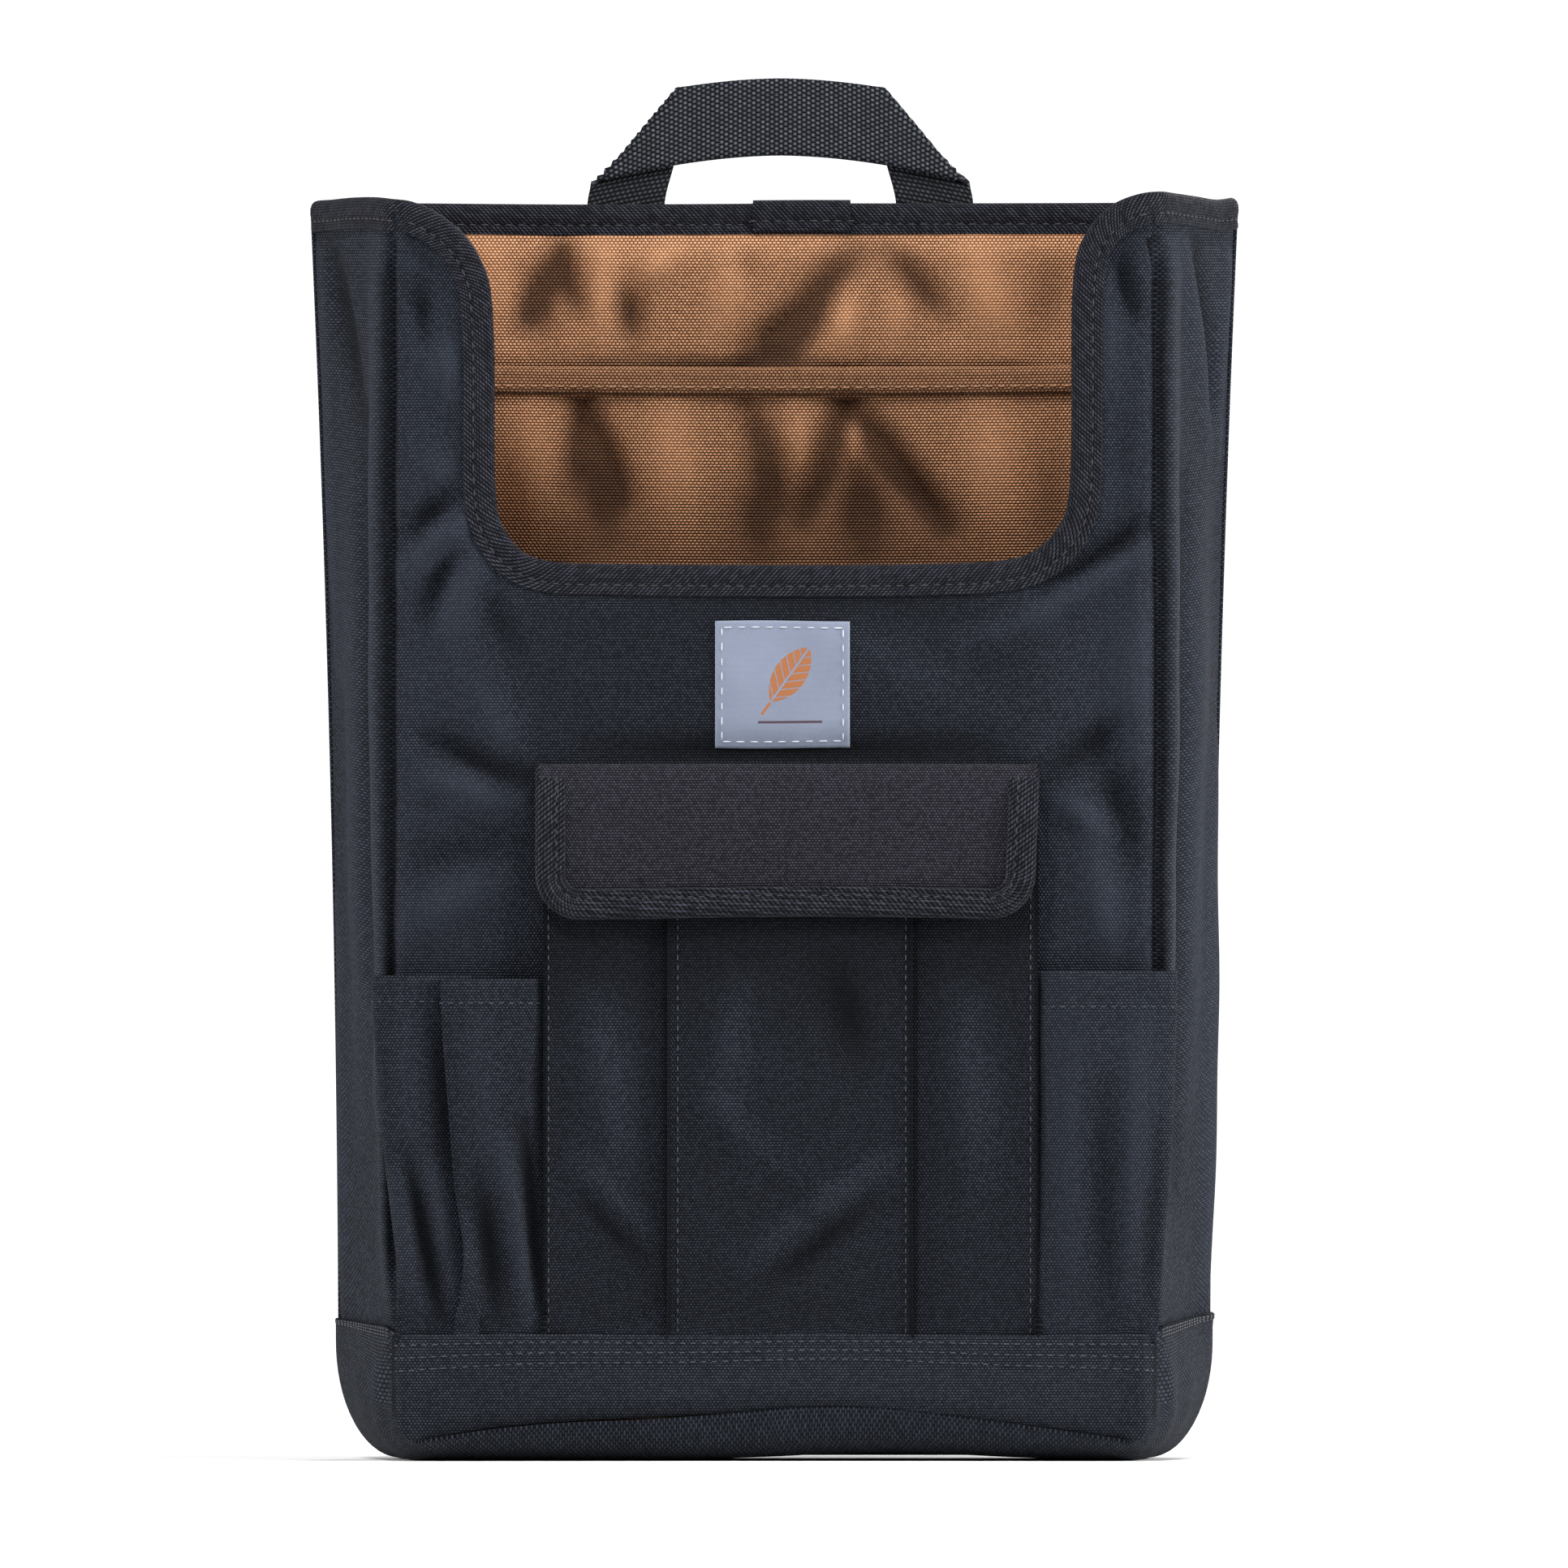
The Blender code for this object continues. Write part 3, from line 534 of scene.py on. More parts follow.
body = {
    "frontWidth": 249 * mm, "topWidth": 304.6 * mm, "footWidth": 286 * mm, "height": 411 * mm,
    "rimHeight": 409.0 * mm, "cornerAcross": (10 * mm, 20 * mm), "cornerUp": (13 * mm, 37 * mm),
    "frontLift": 16 * mm, "cornerDrop": 9.5 * mm, "slope": 20 * mm, "fabric": 1.2 * mm, "lining": 0.8 * mm,
    "wall": 2.3 * mm, "boot": 1.5 * mm, "groove": 3.2 * mm, "cell": 2.1 * mm,
}


def depthShare(y):
    return (y - frontY) / bodyDepth


def halfWidth(y, z):
    foot = lerp(body["frontWidth"], body["footWidth"], depthShare(y)) / 2
    top = lerp(body["frontWidth"], body["topWidth"], depthShare(y)) / 2
    return lerp(foot, top, np.clip(z / body["height"], 0, 1.1) ** 2)


def footEdge(x):
    # height of the lower seam of the front: lifted in the middle, low at the corners, a little uneven
    share = np.abs(x) / (118 * mm)
    wave = 1.2 * np.sin(x / (19 * mm) + 0.4) * np.clip(1 - share, 0, 1)
    return body["frontLift"] - body["cornerDrop"] * np.clip(share, 0, 1.05) ** 2 + wave * mm


def underside(x, y):
    share = np.clip((frontY + body["slope"] - y) / body["slope"], 0, 1)
    lifted = (footEdge(x) - 1.5 * mm) * share ** 2
    middle = 2.4 * mm * np.exp(-((x / mm - 36) / 42) ** 2)  # the foot lifts a little off the ground
    return lifted + middle


gusset = {
    # depth share and height in mm: start, end, width, height of each soft fold; depth is scaled to mm
    "left": [((15, 400), (14, 120), 7.0, 3.2), ((14, 130), (11, 60), 6.0, 1.8),
             ((60, 396), (34, 345), 7.0, -3.4),
             ((46, 310), (42, 120), 11.0, 2.4), ((68, 390), (62, 260), 7.0, 2.4),
             ((29, 340), (30, 160), 6.0, -2.4),
             ((70, 180), (70, 50), 8.0, 2.2)],
    "right": [((14, 396), (13, 110), 7.0, 3.4), ((26, 398), (54, 335), 6.0, 2.6),
              ((36, 398), (64, 345), 6.0, -3.4),
              ((29, 320), (30, 90), 7.0, -2.2), ((50, 310), (46, 120), 12.0, 2.4),
              ((70, 404), (66, 330), 5.0, 2.2),
              ((70, 230), (70, 50), 9.0, 4.2)],
    "forward": 5.0, "forwardAt": 9.0, "forwardWidth": 5.5,
}


def gussetSway(d):
    return 0.8 * mm * np.sin(math.pi * d)


def gussetOut(side, d, z):
    # how far a gusset stands out from its plain slanted plane
    folds = gusset["left"] if side < 0 else gusset["right"]
    depth = d * 80
    out = foldField(depth, z / mm, folds) + ripple(depth, z / mm, 46, 0.7, 2.0 if side < 0 else 5.0)
    # still at the rim and the foot
    hold = ease((body["rimHeight"] - 4 * mm - z) / (16 * mm)) * ease(z / (40 * mm))
    groove = body["groove"] * (np.exp(-(depth / 3.4) ** 2) + 0.25 * np.exp(-((80 - depth) / 3.0) ** 2))
    sewn = 1 - np.exp(-((80 - depth) / 6) ** 2)
    return (
        out * hold * sewn * mm + gussetSway(d) * ease(z / (300 * mm))
        - groove * ease((z + 30 * mm) / (60 * mm))
    )


def stripOutline(y, out, top, low, counts=(96, 14, 46)):
    # the outline of the gussets and base at one depth, from the left top round to the right top
    d = depthShare(y)
    across = lerp(*body["cornerAcross"], d)
    up = lerp(*body["cornerUp"], d)
    nSide, nArc, nBase = counts
    start = low + underside(-halfWidth(y, 0), y) + up
    z = np.linspace(top, start, nSide)
    left = np.stack([-halfWidth(y, z), z], 1)
    turn = np.linspace(0, math.pi / 2, nArc)[1:]
    x = -halfWidth(y, start) + across * (1 - np.cos(turn))
    arc = np.stack([x, low + underside(x, y) + up * (1 - np.sin(turn))], 1)
    x = np.linspace(arc[-1, 0], -arc[-1, 0], nBase)[1:-1]
    base = np.stack([x, low + underside(x, y)], 1)
    mirror = np.stack([-halfWidth(y, z), z], 1)
    x2 = halfWidth(y, start) - across * (1 - np.cos(turn))
    arc2 = np.stack([x2, low + underside(x2, y) + up * (1 - np.sin(turn))], 1)
    right = np.concatenate([arc2[::-1], (mirror * [-1, 1])[::-1]])
    line = np.concatenate([left, arc, base, right])
    tangent = np.gradient(line, axis=0)
    tangent = tangent / np.linalg.norm(tangent, axis=1, keepdims=True)
    normal = np.stack([tangent[:, 1], -tangent[:, 0]], 1)
    amount = np.where(np.abs(normal[:, 0]) > 0.05, np.abs(normal[:, 0]), 0) * np.where(
        line[:, 0] < 0, gussetOut(-1, d, line[:, 1]), gussetOut(1, d, line[:, 1]))
    return line + normal * (amount + out)[:, None]


def forwardShift(depth, z):
    # the side cloth bulges towards the front just behind its seam, so the seam lies in a narrow groove
    hold = ease((body["rimHeight"] - 6 * mm - z) / (20 * mm)) * ease((z - 44 * mm) / (30 * mm))
    bulge = gusset["forward"] * np.exp(
        -((depth - gusset["forwardAt"]) / gusset["forwardWidth"]) ** 2
    ) * ease((depth - 2) / 4)
    return (bulge - 3.3 * np.exp(-(depth / 4) ** 2)) * mm * hold


def stripGrid(out, top, low, front, back, rows, counts=(96, 14, 46)):
    grid = []
    share = np.linspace(0, 1, rows)
    for y in front + (back - front) * (0.55 * share + 0.45 * share ** 2):
        line = stripOutline(y, out, top(depthShare(y)), low, counts)
        shift = forwardShift((y - frontY) / mm, line[:, 1]) if out >= 0 else 0.0
        grid.append(np.stack([line[:, 0], np.full(len(line), y) - shift, line[:, 1]], 1))
    return np.array(grid)


# rim tape round the mouth, the gusset tops and the back

rim = {
    "half": 1.15 * mm, "width": 10.4 * mm, "stitchAt": 7.0 * mm, "edgeInside": 3.0 * mm,
    "proud": 2.25 * mm, "dent": 0.45 * mm,
    "lapProud": 3.25 * mm, "lapRaise": 1.1 * mm, "lapLeft": -7.5 * mm, "lapRight": 25.3 * mm,
    "frontLeft": [(-117.5, 411.0), (-108.5, 406.6), (-100.8, 400.0), (-95.2, 391.0), (-92.4, 381),
                  (-91.3, 360), (-91.3, 335),
                  (-91.0, 318), (-89.2, 306.5), (-82.6, 297.4), (-72, 293.6)],
    "frontFoot": [(-50, 292.9), (-20, 292.6), (20, 292.5), (50, 292.9)],
    "frontRight": [(73, 293.9), (84.4, 297.0), (92.8, 305), (96.2, 316), (97.0, 340), (97.0, 365),
                   (97.3, 381), (98.8, 394),
                   (103.2, 403.2), (110.4, 410.2), (118.6, 413.6)],
    "leftTop": [(0.06, 412.2), (0.25, 412.9), (0.5, 413.0), (0.75, 412.6), (0.95, 412.3)],
    "rightTop": [(0.08, 414.6), (0.25, 414.2), (0.5, 413.4), (0.75, 412.6), (0.95, 413.4)],
    "backTop": 411.6,
}


def rimLine():
    # x, y, z and the plan angle of the outward side, round the whole rim from the lap
    mid = rim["half"]
    lean = math.degrees(math.atan2(body["topWidth"] / 2 - body["frontWidth"] / 2, bodyDepth))
    yBack = (backY - mid) / mm
    yFront = (frontY + mid) / mm
    points = [
        (9, yBack, rim["backTop"], 90), (-60, yBack, rim["backTop"] - 0.4, 90),
        (-120, yBack, rim["backTop"], 90), (-141, yBack, rim["backTop"], 92)
    ]

    def alongSide(side, rows, angle):
        found = []
        for d, z in rows:
            y = frontY + d * bodyDepth
            x = halfWidth(y, body["rimHeight"]) + gussetSway(d) - mid
            found.append((side * x / mm, y / mm, z, angle))
        return found

    points += alongSide(-1, reversed(rim["leftTop"]), 180 + lean)
    points += [(x, yFront, z, 270) for x, z in rim["frontLeft"] + rim["frontFoot"] + rim["frontRight"]]
    points += alongSide(1, rim["rightTop"], 360 - lean)
    points += [
        (141, yBack, rim["backTop"] + 0.6, 448), (120, yBack, rim["backTop"] + 0.2, 450),
        (60, yBack, rim["backTop"], 450)
    ]
    points = np.array(points, float)
    unrolled = np.concatenate([points, points[:1] + [0, 0, 0, 360]])
    line = splineLine(unrolled, 560)[:-1]
    line[:, :3] *= mm
    return line


def sideways(points, closed):
    if closed:
        tangent = np.roll(points, -1, 0) - np.roll(points, 1, 0)
    else:
        tangent = np.gradient(points, axis=0)
    return tangent / np.linalg.norm(tangent, axis=1, keepdims=True)


def rimFrames():
    line = rimLine()
    points = line[:, :3]
    angle = np.radians(line[:, 3])
    out = np.stack([np.cos(angle), np.sin(angle), np.zeros(len(angle))], 1)
    tangent = sideways(points, True)
    inward = np.cross(tangent, out)
    inward = inward / np.linalg.norm(inward, axis=1, keepdims=True)
    out = np.cross(inward, tangent)
    return points, inward, out


def tapeSection(width, half, proud, dent):
    # folded tape: distance into the cloth, and outwards; round at the fold, dented by the seam
    stitch = rim["stitchAt"]
    outer = [(width, half + 0.35 * mm), (width - 0.35 * mm, proud), (width - 1.5 * mm, proud + 0.1 * mm),
             (stitch + 0.7 * mm, proud - 0.1 * mm),
             (stitch, proud - dent), (stitch - 0.8 * mm, proud + 0.02 * mm), (4.4 * mm, proud + 0.28 * mm),
             (2.6 * mm, proud + 0.22 * mm),
             (1.2 * mm, proud - 0.3 * mm), (0.35 * mm, proud - 1.15 * mm), (0.0, 0.0)]
    inner = [
        (width, half + 0.05 * mm), (5 * mm, half + 0.05 * mm), (2.0 * mm, half - 0.2 * mm), (1.3 * mm, 0.0)
    ]
    mirrored = [(u, -v) for u, v in reversed(outer[:-1])]
    innerBack = [(u, -v) for u, v in inner[:-1]]
    return outer + mirrored + innerBack + inner[::-1]


def sweepTape(name, points, inward, out, section, closed, finish, body):
    # carries the folded section along the line; flat coordinates follow its length and its girth
    ring = np.array(section)
    grid = points[:, None, :] + inward[:, None, :] * ring[None, :, :1] + out[:, None, :] * ring[None, :, 1:]
    rows, columns = grid.shape[:2]
    length = np.concatenate([[0], np.cumsum(np.linalg.norm(np.diff(points, axis=0), axis=1))])
    girth = np.concatenate([[0], np.cumsum(np.linalg.norm(np.diff(ring, axis=0), axis=1))])
    girth = girth - girth[10]  # zero at the fold
    faces, places = [], []
    for r in range(rows if closed else rows - 1):
        after = (r + 1) % rows
        last = length[r] + (length[1] - length[0])
        for c in range(columns):
            near = (c + 1) % columns
            faces.append((r * columns + c, r * columns + near, after * columns + near, after * columns + c))
            far = girth[near] if near else girth[c] + 0.001
            places += [(length[r], girth[c]), (length[r], far), (last, far), (last, girth[c])]
    if not closed:
        for r in (0, rows - 1):
            faces.append(tuple(r * columns + c for c in range(columns)))
            places += [(length[r], girth[c]) for c in range(columns)]
    mesh = bpy.data.meshes.new(name)
    mesh.from_pydata(grid.reshape(-1, 3).tolist(), [], faces)
    layer = mesh.uv_layers.new(name="flat")
    layer.data.foreach_set("uv", np.array(places, np.float32).ravel())
    shape = bmesh.new()
    shape.from_mesh(mesh)
    bmesh.ops.recalc_face_normals(shape, faces=shape.faces)
    shape.to_mesh(mesh)
    shape.free()
    mesh.shade_smooth()
    mesh.set_sharp_from_angle(angle=math.radians(50))
    mesh.materials.append(cloth[finish])
    obj = showObject(name, mesh)
    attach(obj, body)
    return obj


seams = {}


def addSeam(kind, points, out):
    # a row of stitches to be made later, under a kind that fixes thread, size and body
    seams.setdefault(kind, []).append((np.array(points), np.array(out)))


rimPoints, rimInward, rimOut = rimFrames()


def buildRim():
    section = tapeSection(rim["width"], rim["half"], rim["proud"], rim["dent"])
    tape = sweepTape("rim_tape", rimPoints, rimInward, rimOut, section, True, "tape", "bag")
    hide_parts("rim_binding_front", "rim_binding_back", "rim_binding_left", "rim_binding_right")
    near = [
        i for i in range(len(rimPoints))
        if rimPoints[i, 1] > backY - 5 * mm and rim["lapLeft"] < rimPoints[i, 0] < rim["lapRight"]
    ]
    near.sort(key=lambda i: -rimPoints[i, 0])
    lapSection = np.array(
        tapeSection(rim["width"] + 0.3 * mm, rim["half"] + 1.05 * mm, rim["lapProud"], 0.4 * mm)
    )
    lap = sweepTape(
        "rim_tape_lap", rimPoints[near] + [0, 0, rim["lapRaise"]], rimInward[near], rimOut[near], lapSection,
        False, "tape", "bag"
    )
    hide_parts("rim_binding_lap")
    for sign in (1, -1):
        lift = rim["proud"] - rim["dent"] + 0.12 * mm
        row = rimPoints + rimInward * rim["stitchAt"] + rimOut * lift * sign
        addSeam("rim", np.concatenate([row, row[:1]]), np.concatenate([rimOut, rimOut[:1]]) * sign)
    lapRow = (
        rimPoints[near] + [0, 0, rim["lapRaise"]] + rimInward[near] * rim["stitchAt"]
        - rimOut[near] * 3.0 * mm
    )
    addSeam("rim", lapRow, -rimOut[near])


buildRim()
print("rim tape ready")


# front panel with the mouth cut out

front = {
    "edgeRidge": 1.5, "edgeDip": 3.2, "puff": 1.8, "foldScale": 1.9, "sideFall": 2.2,
    "folds": [
        # left arm and left lower corner of the mouth
        ((-112, 368), (-106, 350), 6.5, 1.8), ((-117, 384), (-112, 362), 4.0, -1.6),
        ((-100, 309), (-119, 290), 4.6, 2.2),
        ((-102, 316), (-120, 303), 4.4, -1.8), ((-97, 296), (-107, 268), 5.0, 1.6),
        ((-106, 296), (-113, 276), 3.6, -1.6),
        ((-95, 283), (-84, 262), 5.0, -1.0), ((-112, 330), (-108, 318), 6.0, 1.0),
        # right lower corner and right arm
        ((119, 297), (84, 276), 4.2, 2.6), ((121, 306), (90, 283), 4.4, -2.4),
        ((88, 274), (60, 268), 5.0, 1.2),
        ((112, 392), (118, 372), 4.0, -1.6), ((106, 380), (108, 350), 6.0, 1.2),
        ((118, 280), (116, 230), 7.0, 1.4),
        # beside the flap
        ((-80, 222), (-112, 236), 5.0, -2.0), ((-80, 212), (-110, 222), 5.0, 1.8),
        ((-84, 226), (-96, 252), 6.0, 1.2),
        ((-90, 190), (-118, 176), 8.0, 1.4), ((-86, 200), (-116, 196), 6.0, -1.0),
        ((90, 224), (112, 240), 5.0, -1.8), ((93, 216), (108, 206), 5.0, 1.6),
        ((108, 232), (116, 196), 6.0, -1.5), ((104, 200), (110, 165), 7.0, 1.4),
        # shallow hollow over the flap
        ((-60, 232), (70, 232), 5.0, -1.2), ((-40, 282), (60, 282), 7.0, -0.7),
        ((20, 268), (70, 246), 9.0, 0.8),
    ],
}


def frontOut(x, z):
    # how far the front stands out, in metres
    xm, zm = x / mm, z / mm
    out = (
        front["puff"] * (1 - np.clip(np.abs(xm) / 124.5, 0, 1) ** 3)
        - front["sideFall"] * ease((np.abs(xm) - 82) / 42)
    )
    out = out + front["foldScale"] * foldField(xm, zm, front["folds"]) + ripple(xm, zm, 70, 1.1, 1.0)
    out = out + front["edgeRidge"] * np.exp(-((np.abs(xm) - 119.5) / 4.0) ** 2)
    out = out - front["edgeDip"] * np.exp(-((124.5 - np.abs(xm)) / 1.6) ** 2)
    distance = mouthDistance(x, z) / mm
    hold = ease((distance - 7) / 9)
    return (out * hold) * mm * ease((409 - zm) / 14)


def frontPaintedShading(x, z):
    # painted shade: darker in the fold valleys, over the middle and in the groove by both side seams; painted
    # highlight on the ridges
    valleys = -front["foldScale"] * foldField(x / mm, z / mm, front["folds"]) / 3.4
    middle = 0.30 - 0.60 * ease((np.abs(x) / mm - 70) / 35)  # the middle is a little darker
    return np.clip(valleys, -0.9, 0.8) + middle + np.exp(
        -((body["frontWidth"] / 2 - np.abs(x)) / (1.3 * mm)) ** 2
    )


mouthIndex = [
    i for i in range(len(rimPoints)) if rimPoints[i, 1] < frontY + 1.6 * mm and abs(rimOut[i, 1]) > 0.93
]
mouthFold = rimPoints[mouthIndex][:, [0, 2]]
mouthCut = (rimPoints + rimInward * rim["edgeInside"])[mouthIndex][:, [0, 2]]


def mouthDistance(x, z):
    # distance from the fold line of the mouth
    best = np.full(x.shape, 1.0)
    for px, pz in mouthFold[::2]:
        best = np.minimum(best, (x - px) ** 2 + (z - pz) ** 2)
    return np.sqrt(best)


def inMouth(x, z):
    edge = np.concatenate([mouthCut, [[mouthCut[-1, 0], 0.6], [mouthCut[0, 0], 0.6]]])
    inside = np.zeros(x.shape, bool)
    for (ax, az), (bx, bz) in zip(edge, np.roll(edge, -1, 0)):
        crosses = (az > z) != (bz > z)
        at = ax + (z - az) / np.where(bz == az, 1e-9, bz - az) * (bx - ax)
        inside ^= crosses & (x < at)
    return inside


def frontGrid(inset, low):
    half = body["frontWidth"] / 2 - inset
    columns = int(2 * half / body["cell"]) + 1
    share = np.linspace(-1, 1, columns)
    share = np.concatenate([[-1, -0.995, -0.988], share[1:-1], [0.988, 0.995, 1]])
    x = np.sort(share) * half
    z = np.arange(body["rimHeight"], low, -body["cell"])
    gx, gz = np.meshgrid(x, z)
    centreX = (gx[:-1, :-1] + gx[1:, 1:]) / 2
    centreZ = (gz[:-1, :-1] + gz[1:, 1:]) / 2
    keep = ~inMouth(centreX, centreZ)
    near = np.zeros(gx.shape, bool)  # points on both a kept and a dropped face are drawn to the cut line
    touch = np.zeros(gx.shape, bool)
    for dr in (0, 1):
        for dc in (0, 1):
            near[dr:dr + keep.shape[0], dc:dc + keep.shape[1]] |= keep
            touch[dr:dr + keep.shape[0], dc:dc + keep.shape[1]] |= ~keep
    for r, c in np.argwhere(near & touch):
        away = (mouthCut[:, 0] - gx[r, c]) ** 2 + (mouthCut[:, 1] - gz[r, c]) ** 2
        best = int(np.argmin(away))
        if away[best] < (1.5 * body["cell"]) ** 2:
            gx[r, c], gz[r, c] = mouthCut[best]
    return gx, gz, keep


def buildFront():
    gx, gz, keep = frontGrid(0.0, 30 * mm)
    out = frontOut(gx, gz)
    grid = np.stack([gx, frontY - out, gz], 2)
    flat = np.stack([gx, gz], 2)
    panel = clothPiece(
        "front_cloth", grid, "shell", body["fabric"], "bag", flat, keep,
        paintedShading=frontPaintedShading(gx, gz)
    )
    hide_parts("front_panel")
    gx, gz, keep = frontGrid(3.2 * mm, 8 * mm)
    low = footEdge(gx) + 3.5 * mm
    gz = np.where(gz < 60 * mm, 60 * mm - (60 * mm - gz) * (60 * mm - low) / (52 * mm), gz)
    out = frontOut(gx, gz)
    behind = body["wall"] + 3.4 * mm * np.exp(-((121.3 * mm - np.abs(gx)) / (3 * mm)) ** 2)
    grid = np.stack([gx, frontY + behind - out, gz], 2)[:, ::-1]
    flat = np.stack([gx, gz], 2)[:, ::-1]
    inside = clothPiece(
        "front_lining_cloth", grid, "lining", body["lining"], "bag", flat, keep[:, ::-1]
    )
    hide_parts("front_lining")


buildFront()


# gussets, base, back and linings

back = {
    "folds": [((-110, 380), (-104, 120), 14, 1.4), ((100, 380), (108, 140), 14, 1.4),
              ((-48, 345), (-40, 200), 16, 1.2),
              ((52, 340), (44, 190), 16, 1.2), ((0, 330), (4, 90), 22, -1.2), ((-90, 90), (80, 84), 12, 0.9)],
}

liningFolds = [
    # above the pocket inside: dark valleys that open downwards between soft ridges
    ((-70, 395), (-84, 370), 5.0, -3.6), ((-70, 395), (-64, 374), 4.0, -2.6),
    ((-76, 384), (-76, 366), 6.0, -1.6), ((-56, 397), (-56, 368), 6.0, 2.2),
    ((-50, 384), (-46, 366), 5.5, -3.0), ((-33, 396), (-44, 386), 5.0, 2.0),
    ((-12, 395), (-18, 366), 7.0, 1.6), ((-10, 396), (-8, 386), 4.0, -1.4),
    ((27, 395), (4, 368), 6.0, -3.4), ((12, 372), (-6, 361), 6.5, -4.4), ((24, 380), (22, 362), 6.0, 2.8),
    ((38, 395), (56, 374), 5.5, -2.8),
    ((42, 384), (40, 364), 5.0, 1.6), ((66, 396), (76, 366), 8.0, 2.4), ((92, 390), (88, 366), 6.0, -1.2),
    ((-95, 398), (-90, 366), 8.0, 1.4),
]

pocketFolds = [
    ((-62, 344), (-66, 318), 5.0, -2.6), ((-62, 344), (-50, 316), 5.5, -3.2),
    ((-58, 326), (-54, 304), 7.0, -2.4), ((-80, 342), (-78, 300), 8.0, 2.0),
    ((-34, 344), (-30, 300), 8.0, 2.4), ((-8, 344), (2, 314), 5.5, -3.0), ((-6, 322), (-4, 298), 7.0, -2.0),
    ((8, 344), (10, 322), 4.5, 1.6),
    ((23, 345), (10, 308), 5.0, -3.2), ((26, 345), (56, 306), 5.5, -3.6), ((28, 328), (30, 300), 9.0, -2.6),
    ((26, 340), (27, 328), 3.0, 2.0),
    ((70, 344), (74, 300), 9.0, 2.2), ((92, 336), (92, 300), 7.0, -1.2),
]


def backGrid(inset, low, ground, columns=118, rows=168):
    z = np.linspace(body["rimHeight"], low, rows)
    share = np.linspace(-1, 1, columns)
    share = np.sort(np.concatenate([share, [-0.994, -0.985, 0.985, 0.994]]))
    gz, gs = np.meshgrid(z, share, indexing="ij")
    wide = halfWidth(backY, gz) - inset
    up, across = body["cornerUp"][1], body["cornerAcross"][1]
    t = np.clip((gz - ground) / up, 0, 1)
    wide = wide - across * (1 - np.sqrt(np.clip(1 - (1 - t) ** 2, 0, 1)))
    return gs * wide, gz, gs


def buildBack():
    gx, gz, gs = backGrid(0.0, 30 * mm, 0.8 * mm)
    xm, zm = gx / mm, gz / mm
    hold = ease((398 - zm) / 20) * ease((zm - 44) / 20)
    out = foldField(xm, zm, back["folds"]) + ripple(xm, zm, 80, 0.7, 4.0)
    edge = -2.2 * np.exp(-((1 - np.abs(gs)) * 150 / 2.0) ** 2)
    grid = np.stack([gx, backY + (np.clip(out, -2, 1.0) * hold + edge) * mm, gz], 2)[:, ::-1]
    panel = clothPiece(
        "back_cloth", grid, "shell", body["fabric"], "bag", np.stack([gx, gz], 2)[:, ::-1]
    )
    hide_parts("back_panel")

    gx, gz, gs = backGrid(2.4 * mm, 7 * mm, 4.6 * mm)
    xm, zm = gx / mm, gz / mm
    hold = ease((404 - zm) / 10) * ease((zm - 10) / 30) * ease((1 - np.abs(gs)) / 0.08)
    out = 2.6 + 1.5 * foldField(xm, zm, liningFolds) + ripple(xm, zm, 52, 1.0, 7.0)
    grid = np.stack(
        [gx, backY - body["wall"] - np.clip(out + 1.5 * ease((zm - 352) / 8), 0.2, 11) * hold * mm, gz], 2
    )
    # painted shade in the fold valleys, painted highlight on the ridges, and a painted shadow on the lining just
    # above the pocket hem
    dark = (
        np.clip(-foldField(xm, zm, liningFolds) / 3.0, -0.8, 0.95)
        + 0.8 * np.exp(-((zm - 359) / 3.2) ** 2) * np.exp(-((xm + 14) / 42) ** 2)
    )
    inside = clothPiece(
        "back_lining_cloth", grid, "lining", body["lining"], "bag", np.stack([gx, gz], 2),
        paintedShading=dark
    )
    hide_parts("back_lining")


def buildStrip():
    rimTop = lambda d: body["rimHeight"]
    grid = stripGrid(0.0, rimTop, 1.5 * mm, frontY + 0.9 * mm, backY - 0.9 * mm, 44)
    strip = clothPiece(
        "side_and_base_cloth", grid, "shell", body["fabric"], "bag", stripFlat(grid),
        paintedShading=sidePaintedShading(grid)
    )
    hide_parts("left_gusset", "right_gusset", "base_panel")
    grid = stripGrid(-body["wall"], rimTop, 4.6 * mm, frontY + 5.4 * mm, backY - 3.4 * mm, 36)
    inside = clothPiece(
        "side_and_base_lining_cloth", grid[:, ::-1], "lining", body["lining"], "bag",
        stripFlat(grid)[:, ::-1]
    )
    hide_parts("left_gusset_lining", "right_gusset_lining", "base_lining")


def sidePaintedShading(grid):
    # painted shade in the gusset fold valleys and in the groove by the front seam; painted highlight on the
    # ridges
    x, depth, z = grid[:, :, 0], (grid[:, :, 1] - frontY) / mm, grid[:, :, 2] / mm
    field = np.where(x < 0, foldField(depth, z, gusset["left"]), foldField(depth, z, gusset["right"]))
    seam = np.exp(-(depth / 4.8) ** 2) * ease((z - 20) / 20)
    return np.clip(-field / 3.2, -0.9, 0.8) * ease((z - 46) / 20) + seam


def stripFlat(grid):
    # rows of the weave run round the depth of the bag
    length = np.concatenate([[0], np.cumsum(np.linalg.norm(np.diff(grid[len(grid) // 2], axis=0), axis=1))])
    v, u = np.meshgrid(length, grid[:, 0, 1])
    return np.stack([u * 0.48, v], 2)


buildBack()
buildStrip()
print("shell and lining ready")


# pocket inside

innerPocket = {
    "half": 133 * mm, "top": 358 * mm, "foot": 216 * mm, "hem": 9.2 * mm, "lip": 1.0 * mm,
    # the last value is the painted shade laid over the whole hem
    "out": 9.4, "least": 5.8, "most": 15.0, "sag": 1.1 * mm, "hemThickness": 0.9 * mm, "hemPaintedShade": 0.38,
}


